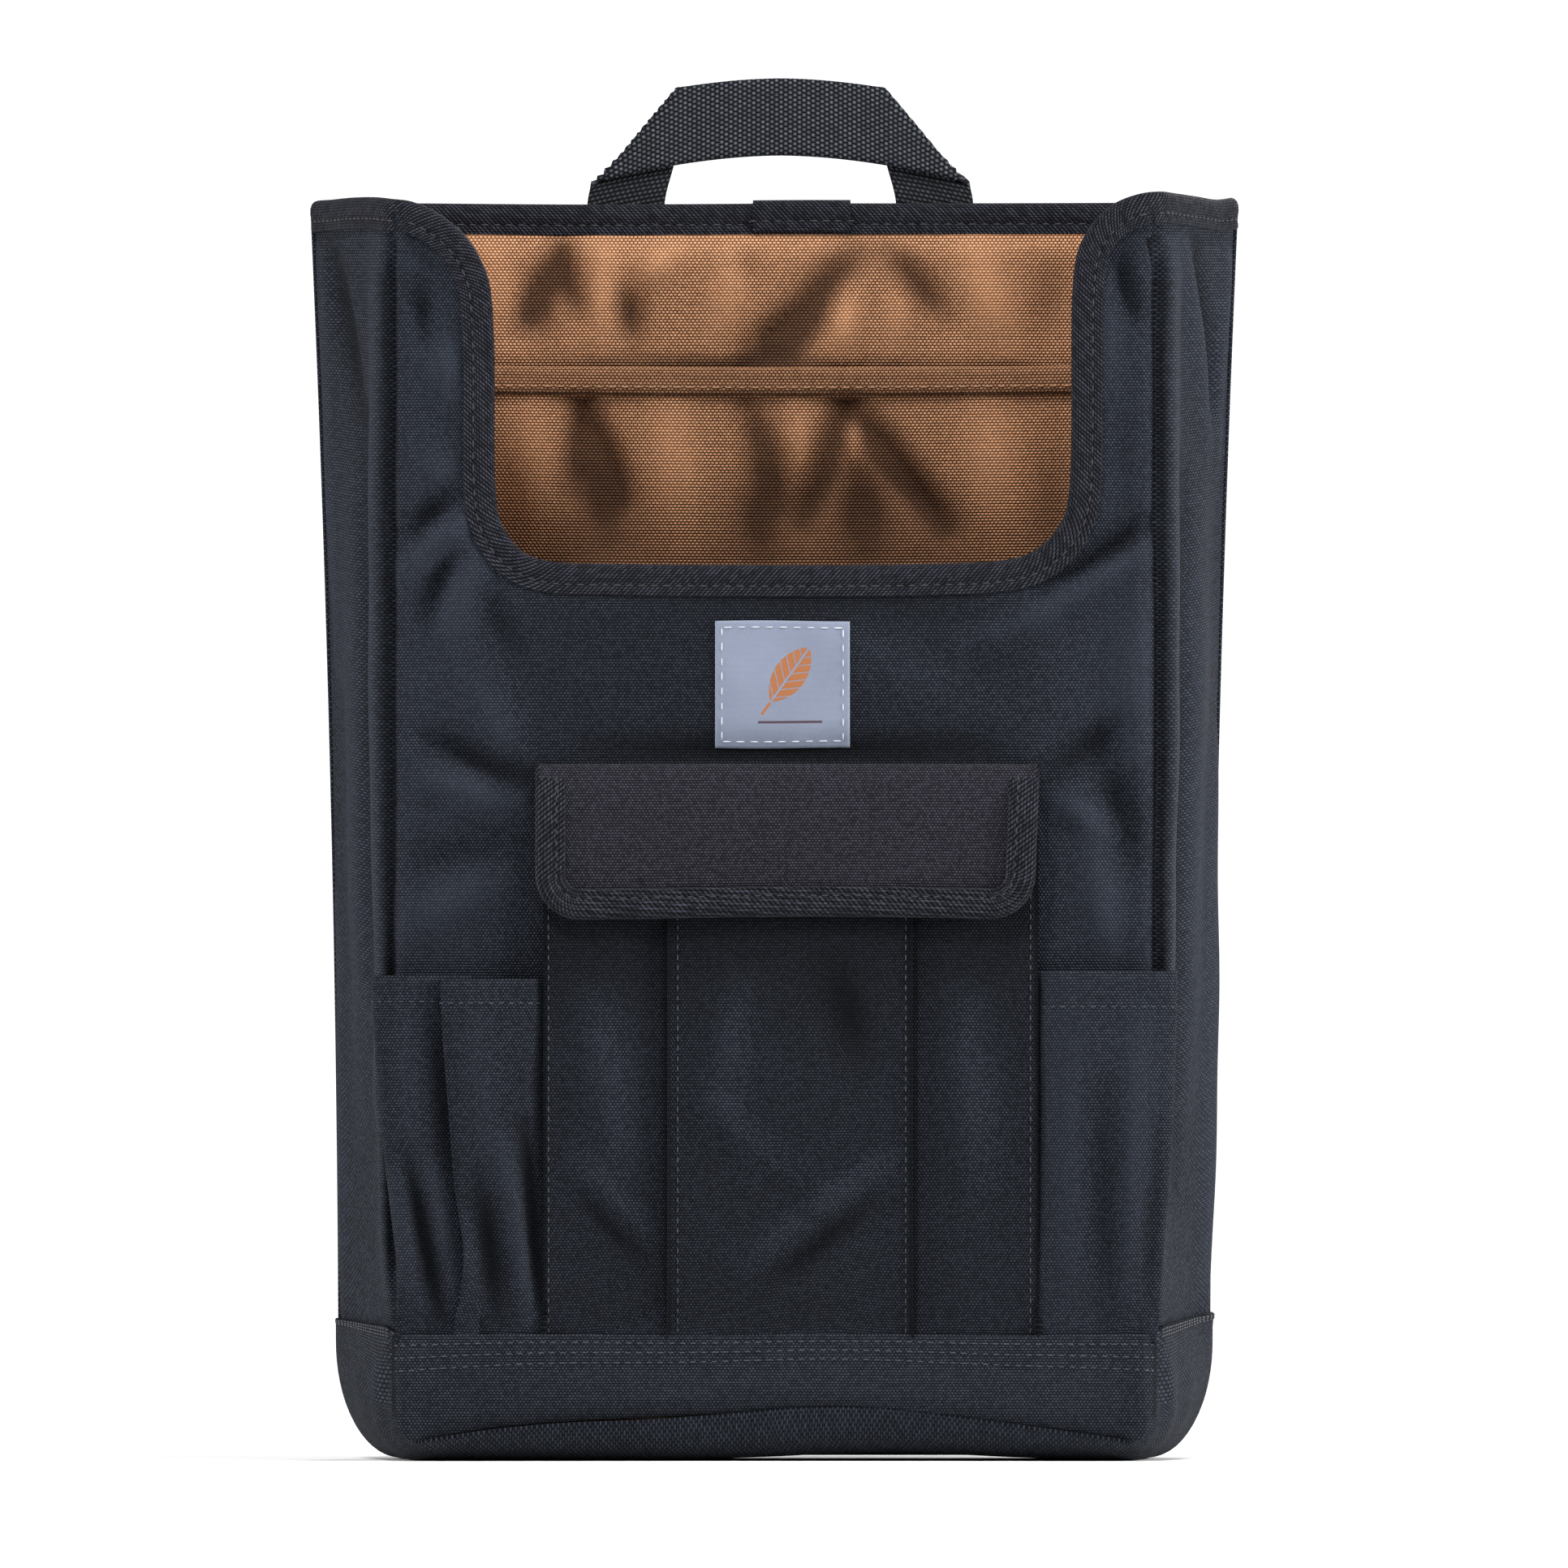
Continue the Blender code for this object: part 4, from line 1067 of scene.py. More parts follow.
def buildInnerPocket():
    x = np.linspace(-innerPocket["half"], innerPocket["half"], 128)
    z = np.linspace(innerPocket["top"], innerPocket["foot"], 70)
    gx, gz = np.meshgrid(x, z)
    xm, zm = gx / mm, gz / mm
    sag = (
        innerPocket["sag"] * np.cos(gx / innerPocket["half"] * math.pi / 2)
        * ease((gz - innerPocket["foot"]) / (100 * mm))
    )
    hold = ease((gz - innerPocket["foot"]) / (40 * mm)) * ease((1 - np.abs(gx) / innerPocket["half"]) / 0.12)
    under = ease((innerPocket["top"] - gz) / (12 * mm))
    out = innerPocket["out"] + 1.4 * foldField(xm, zm, pocketFolds) * under + ripple(xm, zm, 48, 0.8, 9.0)
    plane = backY - body["wall"] - 0.6 * mm
    grid = np.stack(
        [gx, plane - np.clip(out, innerPocket["least"], innerPocket["most"]) * hold * mm, gz - sag], 2
    )
    # painted shade in the fold valleys, painted shade growing towards the pocket's foot, and a painted shadow
    # just under the hem; painted highlight on ridges
    dark = (
        np.clip(-foldField(xm, zm, pocketFolds) / 3.0, -0.6, 0.9) * under + 0.62 * ease((336 - zm) / 46)
        + 0.5 * np.exp(-((zm - 347.5) / 1.6) ** 2)
    )
    pocket = clothPiece(
        "inner_pocket_cloth", grid, "lining", body["lining"], "bag", np.stack([gx, gz], 2),
        paintedShading=dark
    )
    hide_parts("inner_pocket")
    rows = int(np.argmin(np.abs(z - (innerPocket["top"] - innerPocket["hem"]))))
    top = grid[:1] + [0, 0, 0.7 * mm]
    strip = np.concatenate([top + [0, 1.2 * mm, 0], top, grid[: rows + 1] + [0, -innerPocket["lip"], 0]])
    # painted shade over the whole hem
    tone = np.full(strip.shape[:2], innerPocket["hemPaintedShade"])
    hem = clothPiece(
        "inner_pocket_hem", strip, "lining", innerPocket["hemThickness"], "bag",
        flatOf(strip), paintedShading=tone
    )
    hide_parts("inner_pocket")
    grids["hemFace"] = strip[2:]
    addSeam("tan", *lineOn("hemFace", (0.72, 0.02), (0.72, 0.98), 140, 0.15 * mm))


buildInnerPocket()
print("inner pocket ready")


# pockets on the front

def strokePatch(grid, folds, seed, size, height, wallY):
    # folds and unevenness, fading where the cloth meets the wall behind
    xm, zm = grid[:, :, 0] / mm, grid[:, :, 2] / mm
    free = ease((wallY - grid[:, :, 1]) / (3 * mm))
    out = (foldField(xm, zm, folds) + ripple(xm, zm, size, height, seed)) * free
    moved = grid.copy()
    moved[:, :, 1] -= out * mm
    return moved


cargo = {
    # painted shade laid over the whole pocket
    "shade": 0.38,
    "left": -75.4, "right": 86.2, "pleatLeft": -35.2, "pleatRight": 45.6,
    # height, reach of the side panels, step of the raised middle
    "levels": [(206, 4.0, 1.3), (180, 4.2, 1.4), (150, 4.2, 1.5), (110, 4.0, 1.5), (80, 3.2, 1.4),
               (60, 1.7, 1.2),
               (48, 0.1, 0.9), (40, -0.7, 0.6)],
    "folds": [((-20, 118), (10, 86), 5, 2.2), ((-10, 108), (14, 78), 4, -1.6), ((36, 98), (-8, 64), 5, 2.4),
              ((30, 84), (0, 60), 4, -1.8), ((-58, 150), (-50, 96), 7, 1.8),
              ((62, 150), (68, 90), 7, 1.8), ((-64, 98), (-42, 74), 5, 1.8), ((-60, 86), (-44, 66), 4, -1.4),
              ((20, 160), (28, 130), 7, -1.6), ((-12, 154), (-16, 120), 6, 1.8)],
}


def buildCargoPocket():
    wall = frontY / mm - 1.9

    def level(z, reach, step):
        # plan of the pocket at one height: side, side panel and half of the raised middle, then the same mirrored
        face = wall - reach

        def half(edge, pleat, way):
            return [
                (edge + 0.6 * way, wall + 0.8), (edge, wall - reach * 0.5), (edge, face), (edge, face),
                (edge + 1.4 * way, face), (edge + 16 * way, face - 0.5), (pleat - 14 * way, face - 0.5),
                (pleat + 1.6 * way, face + 0.25), (pleat + 1.6 * way, face + 0.2),
                (pleat - 0.5 * way, face - step), (pleat - 0.5 * way, face - step),
                (pleat + 2.2 * way, face - step - 0.1), (pleat + 4 * way, face - step + 0.1),
                (pleat + 24 * way, face - step - 0.6),
            ]

        plan = (
            half(cargo["left"], cargo["pleatLeft"], 1) + half(cargo["right"], cargo["pleatRight"], -1)[::-1]
        )
        return [(x * mm, y * mm, z * mm) for x, y in plan]

    levels = [level(*row) for row in cargo["levels"]]
    grid = patch(levels, 84, 200)
    grid = strokePatch(grid, cargo["folds"], 3.0, 34, 0.9, wall * mm)
    xm, zm = grid[:, :, 0] / mm, grid[:, :, 2] / mm
    # painted shade in the fold valleys, over the upper pocket under the flap and in thin lines along the pleat
    # and side edges; painted highlight on ridges
    dark = np.clip(-foldField(xm, zm, cargo["folds"]) / 3.0, -0.8, 0.5) + 0.35 * ease((zm - 120) / 60)
    for x in (cargo["pleatLeft"] + 0.4, cargo["pleatRight"] - 0.4, cargo["left"] + 0.2, cargo["right"] - 0.2):
        dark = dark + 0.9 * np.exp(-((xm - x) / 0.8) ** 2)
    pocket = clothPiece(
        "cargo_pocket_cloth", grid, "shell", body["fabric"], "bag",
        paintedShading=dark + cargo["shade"]
    )
    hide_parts("cargo_pocket")
    for x in (cargo["left"] + 2.0, cargo["right"] - 2.2, cargo["pleatLeft"] + 3.6, cargo["pleatRight"] - 2.6):
        column = columnNear(grid, x * mm, (wall - 3) * mm)
        addSeam("fine", *lineOn("cargo_pocket_cloth", (0.02, column), (0.96, column), 120, 0.08 * mm))


def columnNear(grid, x, y):
    # the column share of the grid whose middle row passes nearest to x, on the outer face
    row = grid[grid.shape[0] // 3]
    away = np.abs(row[:, 0] - x) + np.where(row[:, 1] > y, 1.0, 0.0)
    return float(np.argmin(away)) / (grid.shape[1] - 1)


slip = {
    # the first value is the painted shade laid over the whole of each pocket
    "shade": 0.14, "top": 158.5, "foot": 38, "hem": 9.2,
    # the left of the two pockets, the one over it, and the one at the right, from the top down: each level is a
    # height, then places across with their distance from the wall
    "outer": [
        (158.5, [
            (-122.8, 1.6), (-127.5, 0.4), (-131.6, -2.2), (-131.2, -5.6), (-127, -7.6), (-118, -7.8),
            (-110, -6.6), (-104, -4.4), (-99, -1.6)
        ]),
        (140, [
            (-122.8, 1.6), (-127.3, 0.4), (-131.0, -2.2), (-130.4, -5.6), (-126, -7.6), (-117, -7.8),
            (-109, -6.4), (-103, -4.2), (-98, -1.6)
        ]),
        (110, [
            (-122.6, 1.4), (-126.0, 0.4), (-128.8, -2.0), (-128.2, -5.2), (-124, -7.0), (-115, -7.0),
            (-107, -5.4), (-101, -3.6), (-96, -1.4)
        ]),
        (80, [
            (-121.8, 1.0), (-124.0, 0.2), (-125.4, -1.6), (-124.6, -4.2), (-120.6, -5.6), (-112, -4.8),
            (-105, -3.4), (-99, -2.6), (-94, -1.2)
        ]),
        (58, [
            (-120.6, 0.4), (-122.0, -0.4), (-122.6, -1.6), (-121.6, -2.8), (-117, -3.4), (-110, -2.2),
            (-104, -1.8), (-98, -1.6), (-93, -1.0)
        ]),
        (46, [
            (-122.2, 0.2), (-123.2, -0.6), (-123.8, -1.2), (-122.4, -1.6), (-117, -1.7), (-110, -1.5),
            (-104, -1.3), (-98, -1.2), (-93, -0.9)
        ]),
        (38, [
            (-122.2, 0.4), (-123.2, -0.2), (-123.8, -0.6), (-122.4, -0.8), (-117, -0.9), (-110, -0.9),
            (-104, -0.9), (-98, -0.9), (-93, -0.6)
        ]),
    ],
    "inner": [
        (157.5, [
            (-100, -4.0), (-104, -5.6), (-108.9, -8.2), (-109.2, -8.9), (-107.6, -9.5), (-99, -10.4),
            (-88, -9.6), (-79, -6.6), (-75.4, -2.6), (-74.2, -0.8)
        ]),
        (140, [
            (-99.4, -4.0), (-103.4, -5.6), (-108.3, -8.0), (-108.6, -8.7), (-107.0, -9.3), (-98, -10.2),
            (-87, -9.4), (-79, -6.4), (-75.4, -2.6), (-74.2, -0.8)
        ]),
        (112, [
            (-97.4, -3.6), (-101, -5.0), (-105.9, -7.4), (-106.2, -8.0), (-104.6, -8.6), (-96, -9.2),
            (-86, -8.2), (-79, -5.6), (-75.6, -2.4), (-74.2, -0.8)
        ]),
        (88, [
            (-95.4, -3.0), (-99.6, -4.2), (-104.2, -6.2), (-104.6, -6.8), (-103, -7.2), (-95, -7.4),
            (-86, -6.2), (-79.6, -4.4), (-76, -2.2), (-74.2, -0.8)
        ]),
        (66, [
            (-93.4, -2.2), (-96.6, -3.0), (-100.2, -4.4), (-100.6, -4.8), (-99, -5.0), (-93, -4.8),
            (-86, -3.6), (-80, -3.0), (-76, -1.8), (-74.2, -0.8)
        ]),
        (47, [
            (-96.4, -1.4), (-100.0, -1.6), (-104.6, -2.0), (-105.0, -2.2), (-102.6, -2.3), (-95, -2.0),
            (-87, -1.9), (-80, -1.7), (-76, -1.4), (-74.2, -0.8)
        ]),
        (38, [
            (-96.4, -0.7), (-100.0, -0.8), (-104.6, -0.9), (-105.0, -1.0), (-102.6, -1.0), (-95, -1.0),
            (-87, -1.0), (-80, -1.0), (-76, -0.9), (-74.2, -0.6)
        ]),
    ],
    "right": [
        (159.9, [
            (84.6, -0.8), (85.8, -2.6), (88.4, -5.6), (95, -8.2), (106, -9.4), (118, -9.0), (127, -7.4),
            (131.4, -5.2), (131.8, -2.2), (128, 0.6), (123, 1.8)
        ]),
        (130, [
            (84.6, -0.8), (85.8, -2.6), (88.4, -5.4), (95, -8.0), (106, -9.2), (118, -8.8), (126.6, -7.2),
            (131.0, -5.0), (131.2, -2.2), (127.6, 0.6), (123, 1.8)
        ]),
        (95, [
            (84.6, -0.8), (85.8, -2.4), (88.4, -4.8), (95, -7.0), (106, -8.0), (118, -7.6), (125.6, -6.2),
            (129.2, -4.4), (129.6, -2.0), (126.6, 0.4), (122.6, 1.4)
        ]),
        (66, [
            (84.6, -0.8), (85.8, -2.0), (88.4, -3.4), (95, -4.6), (106, -5.4), (117, -5.0), (124, -4.0),
            (126.8, -2.8), (127.2, -1.2), (125.6, 0.4), (122.6, 1.0)
        ]),
        (47, [
            (84.6, -0.8), (85.8, -1.2), (88.4, -1.6), (95, -2.0), (106, -2.1), (116, -2.0), (122, -1.8),
            (125.4, -1.4), (126, -0.8), (125.2, 0.2), (122.8, 0.6)
        ]),
        (38, [
            (84.6, -0.6), (85.8, -0.8), (88.4, -0.9), (95, -1.0), (106, -1.0), (116, -1.0), (122, -0.9),
            (124.4, -0.7), (125, -0.4), (124.4, 0.2), (122.8, 0.6)
        ]),
    ],
    "outerFolds": [((-121, 150), (-118, 90), 5, 0.9), ((-120, 100), (-109, 48), 3.4, -2.2),
                   ((-124, 96), (-117, 50), 3.0, 1.6), ((-112, 96), (-104, 52), 3.6, 1.8),
                   ((-110, 140), (-106, 96), 3, -1.2)],
    "innerFolds": [((-98, 150), (-93, 90), 6, 1.0), ((-88, 104), (-80, 46), 3.4, 2.2),
                   ((-82, 110), (-76.5, 48), 2.8, -2.4), ((-96, 92), (-91, 48), 4.4, -1.8),
                   ((-101, 80), (-97, 50), 3, 1.4)],
    "rightFolds": [
        ((94, 150), (97, 60), 8, 1.0), ((120, 146), (115, 54), 5, 1.6), ((107, 120), (110, 46), 7, -1.5),
        ((125, 110), (121, 50), 3.0, -1.4)
    ],
}


def buildSlipPockets():
    wall = frontY / mm - 0.4
    for name, node, kind, columns, flat, seed in (
        ("slip_pocket_outer_cloth", "slip_pocket_left_outer", "outer", 44, (0.046, 0.120), 2.0),
        ("slip_pocket_inner_cloth", "slip_pocket_left_inner", "inner", 48, (0.050, 0.120), 4.0),
        ("slip_pocket_right_cloth", "slip_pocket_right", "right", 54, (0.066, 0.120), 6.0),
    ):
        folds = slip[kind + "Folds"]
        net = [[(x * mm, (wall + out) * mm, z * mm) for x, out in plan] for z, plan in slip[kind]]
        grid = patch(net, 66, columns)
        grid = strokePatch(grid, folds, seed, 30, 0.35, wall * mm)
        # painted shade in the fold valleys and painted highlight on ridges; the right pocket gets less painted
        # shade
        dark = np.clip(-foldField(grid[:, :, 0] / mm, grid[:, :, 2] / mm, folds) / 2.0, -0.8, 0.8)
        dark = dark - 0.3 * (grid[:, :, 0] > 0)
        pocket = clothPiece(
            name, grid, "shell", body["fabric"], "bag", paintedShading=dark + slip["shade"]
        )
        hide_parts(node)
        row = slip["hem"] / (slip["top"] - slip["foot"])
        addSeam("fine", *lineOn(name, (row, 0.1), (row, 0.93), 60, 0.08 * mm))


buildCargoPocket()
buildSlipPockets()
print("front pockets ready")


# reinforcing band round the foot

band = {
    "top": 41.2, "rows": (2.6 * mm, 5.8 * mm, 9.0 * mm), "out": 2.7 * mm,
    "folds": [((-118, 30), (-104, 14), 4, 0.9), ((-108, 24), (-92, 12), 4, -0.7),
              ((116, 32), (106, 12), 4, 0.9),
              ((-40, 20), (20, 22), 6, 0.5)],
    # depth and height of the tucks on both sides
    "tucks": [((3, 40), (9, 6), 4.0, -1.6), ((14, 36), (20, 4), 6.0, 1.2), ((40, 30), (46, 8), 9.0, 0.8)],
}


def bandTop(d, x):
    # the band's upper edge climbs a little from the front seam to the back
    return (band["top"] + 2.6 * ease(d / 0.08) + (2.0 if x < 0 else 4.0) * d) * mm


def buildBand():
    half = body["frontWidth"] / 2 + 0.4 * mm
    share = np.sort(np.concatenate([np.linspace(-1, 1, 116), [-0.994, -0.986, 0.986, 0.994]]))
    t = np.linspace(0, 1, 26)
    gs, gt = np.meshgrid(share, t)
    up, across = body["cornerUp"][0], body["cornerAcross"][0]
    x = gs * half
    low = footEdge(x)
    z = lerp(band["top"] * mm + 0.25 * mm * np.sin(x / (17 * mm)), low, gt)
    climb = np.clip((z - footEdge(np.sign(gs) * half)) / up, 0, 1)
    x = gs * (half - across * (1 - np.sqrt(np.clip(1 - (1 - climb) ** 2, 0, 1))))
    zm, xm = z / mm, x / mm
    near = np.exp(-((z - low) / (3.2 * mm)) ** 2)
    edge = np.exp(-((half - np.abs(x)) / (2.0 * mm)) ** 2)
    out = (
        band["out"] / mm + 0.8 * np.sin(np.clip((zm - 14) / 28, 0, 1) * math.pi)
        + ripple(xm, zm, 44, 0.5, 3.3)
    )
    out = out + foldField(xm, zm, band["folds"])
    roll = 1.7 * np.exp(-((half - 5 * mm - np.abs(x)) / (3.2 * mm)) ** 2) * ease((42 - zm) / 10)
    y = frontY - (out + roll - 3.4 * near - 5.0 * edge) * mm
    grid = np.stack([x, y, z], 2)
    # painted shade at both ends of the band and along its lower fold
    dark = 0.8 * edge + 0.7 * np.exp(-((z - low) / (1.0 * mm)) ** 2)
    face = clothPiece(
        "foot_band_front_cloth", grid, "band", body["fabric"], "bag", np.stack([x, z], 2),
        paintedShading=dark
    )
    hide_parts("foot_band_front")
    for drop in band["rows"]:
        row = drop / ((band["top"] - 14) * mm)
        addSeam("band", *lineOn("foot_band_front_cloth", (row, 0.015), (row, 0.985), 160, 0.1 * mm))

    rows = []
    depths = np.linspace(frontY - 0.6 * mm, backY + 0.2 * mm, 40)
    for y in depths:
        d = depthShare(y)
        line = stripOutline(y, body["boot"], 48 * mm, 1.5 * mm, (30, 16, 60))
        top = np.array([bandTop(max(d, 0), px) for px in line[:, 0]])
        upper = line[:, 1] > 30 * mm
        line[:, 1] = np.where(
            upper, 30 * mm + (line[:, 1] - 30 * mm) * (top - 30 * mm) / (18 * mm), line[:, 1]
        )
        tuck = foldField(np.full(len(line), d * 80), line[:, 1] / mm, band["tucks"]) * mm
        lowered = ease((42 * mm - line[:, 1]) / (14 * mm))
        line[:, 0] += np.sign(line[:, 0]) * tuck * lowered
        rows.append(np.stack([line[:, 0], np.full(len(line), y), np.maximum(line[:, 1], 0.0)], 1))
    grid = np.array(rows)
    # painted shade along both edges of the wrap, at its seams
    dark = np.zeros(grid.shape[:2])
    dark[:, :1] = dark[:, -1:] = 0.9
    wrap = clothPiece(
        "foot_band_side_cloth", grid, "band", body["fabric"], "bag", stripFlat(grid),
        paintedShading=dark
    )
    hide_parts("foot_band_left", "foot_band_right", "foot_band_base")
    length = np.linalg.norm(np.diff(grid[20], axis=0), axis=1).sum()
    for drop in band["rows"]:
        for share in (drop / length, 1 - drop / length):
            addSeam("band", *lineOn("foot_band_side_cloth", (0.04, share), (0.97, share), 60, 0.1 * mm))

    gx, gz, gs = backGrid(-0.8 * mm, 0.8 * mm, 0.8 * mm, 116, 120)
    pick = gz[:, 0] < 46 * mm
    gx, gz, gs = gx[pick], gz[pick], gs[pick]
    near = np.exp(-((1 - np.abs(gs)) * 145 / 2.4) ** 2) + np.exp(-((gz - 0.8 * mm) / (3.0 * mm)) ** 2)
    grid = np.stack([gx, backY + (1.5 - 2.4 * np.clip(near, 0, 1)) * mm, gz], 2)[:, ::-1]
    rear = clothPiece(
        "foot_band_back_cloth", grid, "band", body["fabric"], "bag",
        np.stack([gx, gz], 2)[:, ::-1]
    )
    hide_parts("foot_band_back")
    height = gz[0, 0] - gz[-1, 0]
    for drop in band["rows"]:
        addSeam(
            "band",
            *lineOn("foot_band_back_cloth", (drop / height, 0.012), (drop / height, 0.988), 160, 0.1 * mm)
        )


buildBand()
print("foot band ready")


# flap

flap = {
    "left": -78.1, "right": 87.0, "foot": 177.2, "corner": 14.5, "taper": 2.2,
    "tapeWidth": 10.0 * mm, "tapeHalf": 0.75 * mm, "tapeProud": 2.35 * mm, "tapeDent": 0.3 * mm,
    "tapeStart": 4.2 * mm, "pressed": 0.34,
    "profile": [
        (-37.5, 225.9), (-37.7, 227.0), (-38.9, 227.7), (-40.6, 226.9), (-43.2, 221.5), (-45.4, 213),
        (-46.5, 202), (-46.7, 190), (-46.2, 177.2)
    ],
}


def flapCurve():
    return splineLine([(y * mm, z * mm, 0) for y, z in flap["profile"]], 200)[:, :2]


flapLine = flapCurve()
flapLength = np.linalg.norm(np.diff(flapLine, axis=0), axis=1).sum()


def flapPlace(x, v):
    # a point of the flap from its place across and its length from the fold, all in metres
    t = np.clip(v / flapLength, 0, 1) * (len(flapLine) - 1)
    at = np.arange(len(flapLine))
    y = np.interp(t, at, flapLine[:, 0])
    z = np.interp(t, at, flapLine[:, 1])
    middle = (flap["left"] + flap["right"]) / 2 * mm
    reach = (x - middle) / (83 * mm)
    low = np.clip(v / flapLength, 0, 1)
    y = y - (0.9 * (1 - reach ** 2) * low + 0.25 * ripple(x / mm, z / mm, 40, 1.0, 8.0) * low) * mm
    z = z + 0.5 * mm * np.sin(x / (26 * mm) + 1.0) * low ** 2
    return np.stack([x - np.clip(reach, 0, 1) * flap["taper"] * mm * low, y, z], -1)


def flapNormal(x, v):
    step = 0.4 * mm
    across = flapPlace(x + step, v) - flapPlace(x - step, v)
    down = flapPlace(x, v + step) - flapPlace(x, v - step)
    n = np.cross(down, across)
    return n / np.linalg.norm(n, axis=-1, keepdims=True)


def flapEdgeLine(inset):
    # x and length of the flap's bound edge, from the left of the fold round the foot to the right
    left, right, corner = flap["left"] * mm + inset, flap["right"] * mm - inset, flap["corner"] * mm - inset
    low = flapLength - inset
    line = [(left, v) for v in np.linspace(flap["tapeStart"], low - corner, 26)]
    for angle in np.linspace(0, math.pi / 2, 14)[1:]:
        line.append((left + corner * (1 - math.cos(angle)), low - corner * (1 - math.sin(angle))))
    line += [(x, low) for x in np.linspace(left + corner, right - corner, 74)[1:]]
    for angle in np.linspace(math.pi / 2, 0, 14)[1:]:
        line.append((right - corner * (1 - math.cos(angle)), low - corner * (1 - math.sin(angle))))
    line += [(right, v) for v in np.linspace(low - corner, flap["tapeStart"], 26)[1:]]
    return np.array(line)


def buildFlap():
    inset = 1.4 * mm
    left, right, corner = flap["left"] * mm + inset, flap["right"] * mm - inset, flap["corner"] * mm - inset
    share = np.sin(np.linspace(-1, 1, 96) * math.pi / 2)
    x = lerp(left, right, (share + 1) / 2)
    nearEdge = np.minimum(x - left, right - x)
    reach = np.clip(corner - nearEdge, 0, corner)
    low = flapLength - inset - (corner - np.sqrt(np.clip(corner ** 2 - reach ** 2, 0, None)))
    t = np.linspace(0, 1, 46)
    gt, gx = np.meshgrid(t, x, indexing="ij")
    gv = gt * low[None, :]
    grid = flapPlace(gx, gv)
    panel = clothPiece(
        "flap_cloth", grid, "flap", body["fabric"], "flap", np.stack([gx, -gv], 2)
    )
    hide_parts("flap")
    edge = flapEdgeLine(0.0)
    normal = flapNormal(edge[:, 0], edge[:, 1])
    # thin by the fold, to clear the panel
    press = lerp(flap["pressed"], 1, ease((edge[:, 1] - flap["tapeStart"]) / (20 * mm)))[:, None]
    points = flapPlace(edge[:, 0], edge[:, 1]) - normal * (body["fabric"] / 2 + 0.9 * mm * (1 - press))
    tangent = sideways(points, False)
    inward = np.cross(normal, tangent)
    middle = flapPlace(np.array([4 * mm]), np.array([flapLength * 0.5]))[0]
    sign = np.sign(np.sum(inward * (middle - points), axis=1))
    inward = inward * sign[:, None]
    section = tapeSection(flap["tapeWidth"], flap["tapeHalf"], flap["tapeProud"], flap["tapeDent"])
    tape = sweepTape(
        "flap_tape", points, inward, normal * press, section, False, "flapTape", "flap"
    )
    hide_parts("flap_binding")
    for side in (1, -1):
        row = points + inward * rim["stitchAt"] + normal * press * 2.12 * mm * side
        addSeam("flap", row[1:-1], normal[1:-1] * side)
    seamZ = np.linspace(225.6, 216.8, 6)
    seamX = np.linspace(-77.4, 86.2, 60)
    gx, gz = np.meshgrid(seamX * mm, seamZ * mm)
    gy = frontY - 1.7 * mm - frontOut(gx, gz) * 0.4
    strip = clothPiece(
        "flap_seam_cloth", np.stack([gx, gy, gz], 2), "flap", body["fabric"], "bag",
        np.stack([gx, gz], 2)
    )
    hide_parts("flap_seam")


buildFlap()
print("flap ready")


# label

def buildLabel():
    low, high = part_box("label")
    x = np.linspace(low.x, high.x, 44)
    z = np.linspace(high.z, low.z, 42)
    gx, gz = np.meshgrid(x, z)
    u, v = gx - low.x, gz - low.z
    rise = label["pucker"] * (
        np.sin(u / (3.6 * mm)) * np.exp(-((v - label["inset"]) / (2.5 * mm)) ** 2)
        + np.sin(v / (3.9 * mm)) * np.exp(-((u - label["inset"]) / (2.5 * mm)) ** 2)
    )
    crown = label["crown"] * np.sin(u / label["width"] * math.pi) * np.sin(v / label["height"] * math.pi)
    bow = label["bow"] * np.sin(u / (9 * mm)) * ((v - label["height"] / 2) / label["height"])
    base = frontY - frontOut(gx, gz) - 0.75 * mm
    grid = np.stack([gx, base - rise * 0.5 - crown, gz + bow], 2)
    patchCloth = clothPiece(
        "label_cloth", grid, "label", label["thickness"], "bag", np.stack([u, v], 2)
    )
    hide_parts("label")
    a, b = label["inset"] / label["width"], label["inset"] / label["height"]
    corners = [(b, a), (b, 1 - a), (1 - b, 1 - a), (1 - b, a), (b, a)]
    for start, end in zip(corners, corners[1:]):
        start, end = np.array(start), np.array(end)
        addSeam("pale", *lineOn("label_cloth", lerp(start, end, 0.05), lerp(start, end, 0.96), 30, 0.12 * mm))


buildLabel()
print("label ready")


# handle

handle = {
    "width": 25.4 * mm, "thickness": 1.8 * mm, "gripZ": 439.9 * mm, "foldLeft": -57.5 * mm,
    "foldRight": 61.5 * mm, "legY": 47.2 * mm,
    "turnRadius": 0.95 * mm, "foot": 349 * mm, "drop": 8.5 * mm, "spread": 3.9 * mm, "halfSpan": 59.5 * mm,
    "sewnIn": 1.4 * mm,  # how much nearer the back the sewn ends lie
    "hingeZ": 412.3 * mm, "bendBelow": 4 * mm, "bendAbove": 4.3 * mm,
    # the box of stitches on each sewn end
    "boxMiddles": (-48.9 * mm, 52.7 * mm), "boxHalf": 9.2 * mm, "boxLow": 4 * mm, "boxHigh": 26 * mm,
}


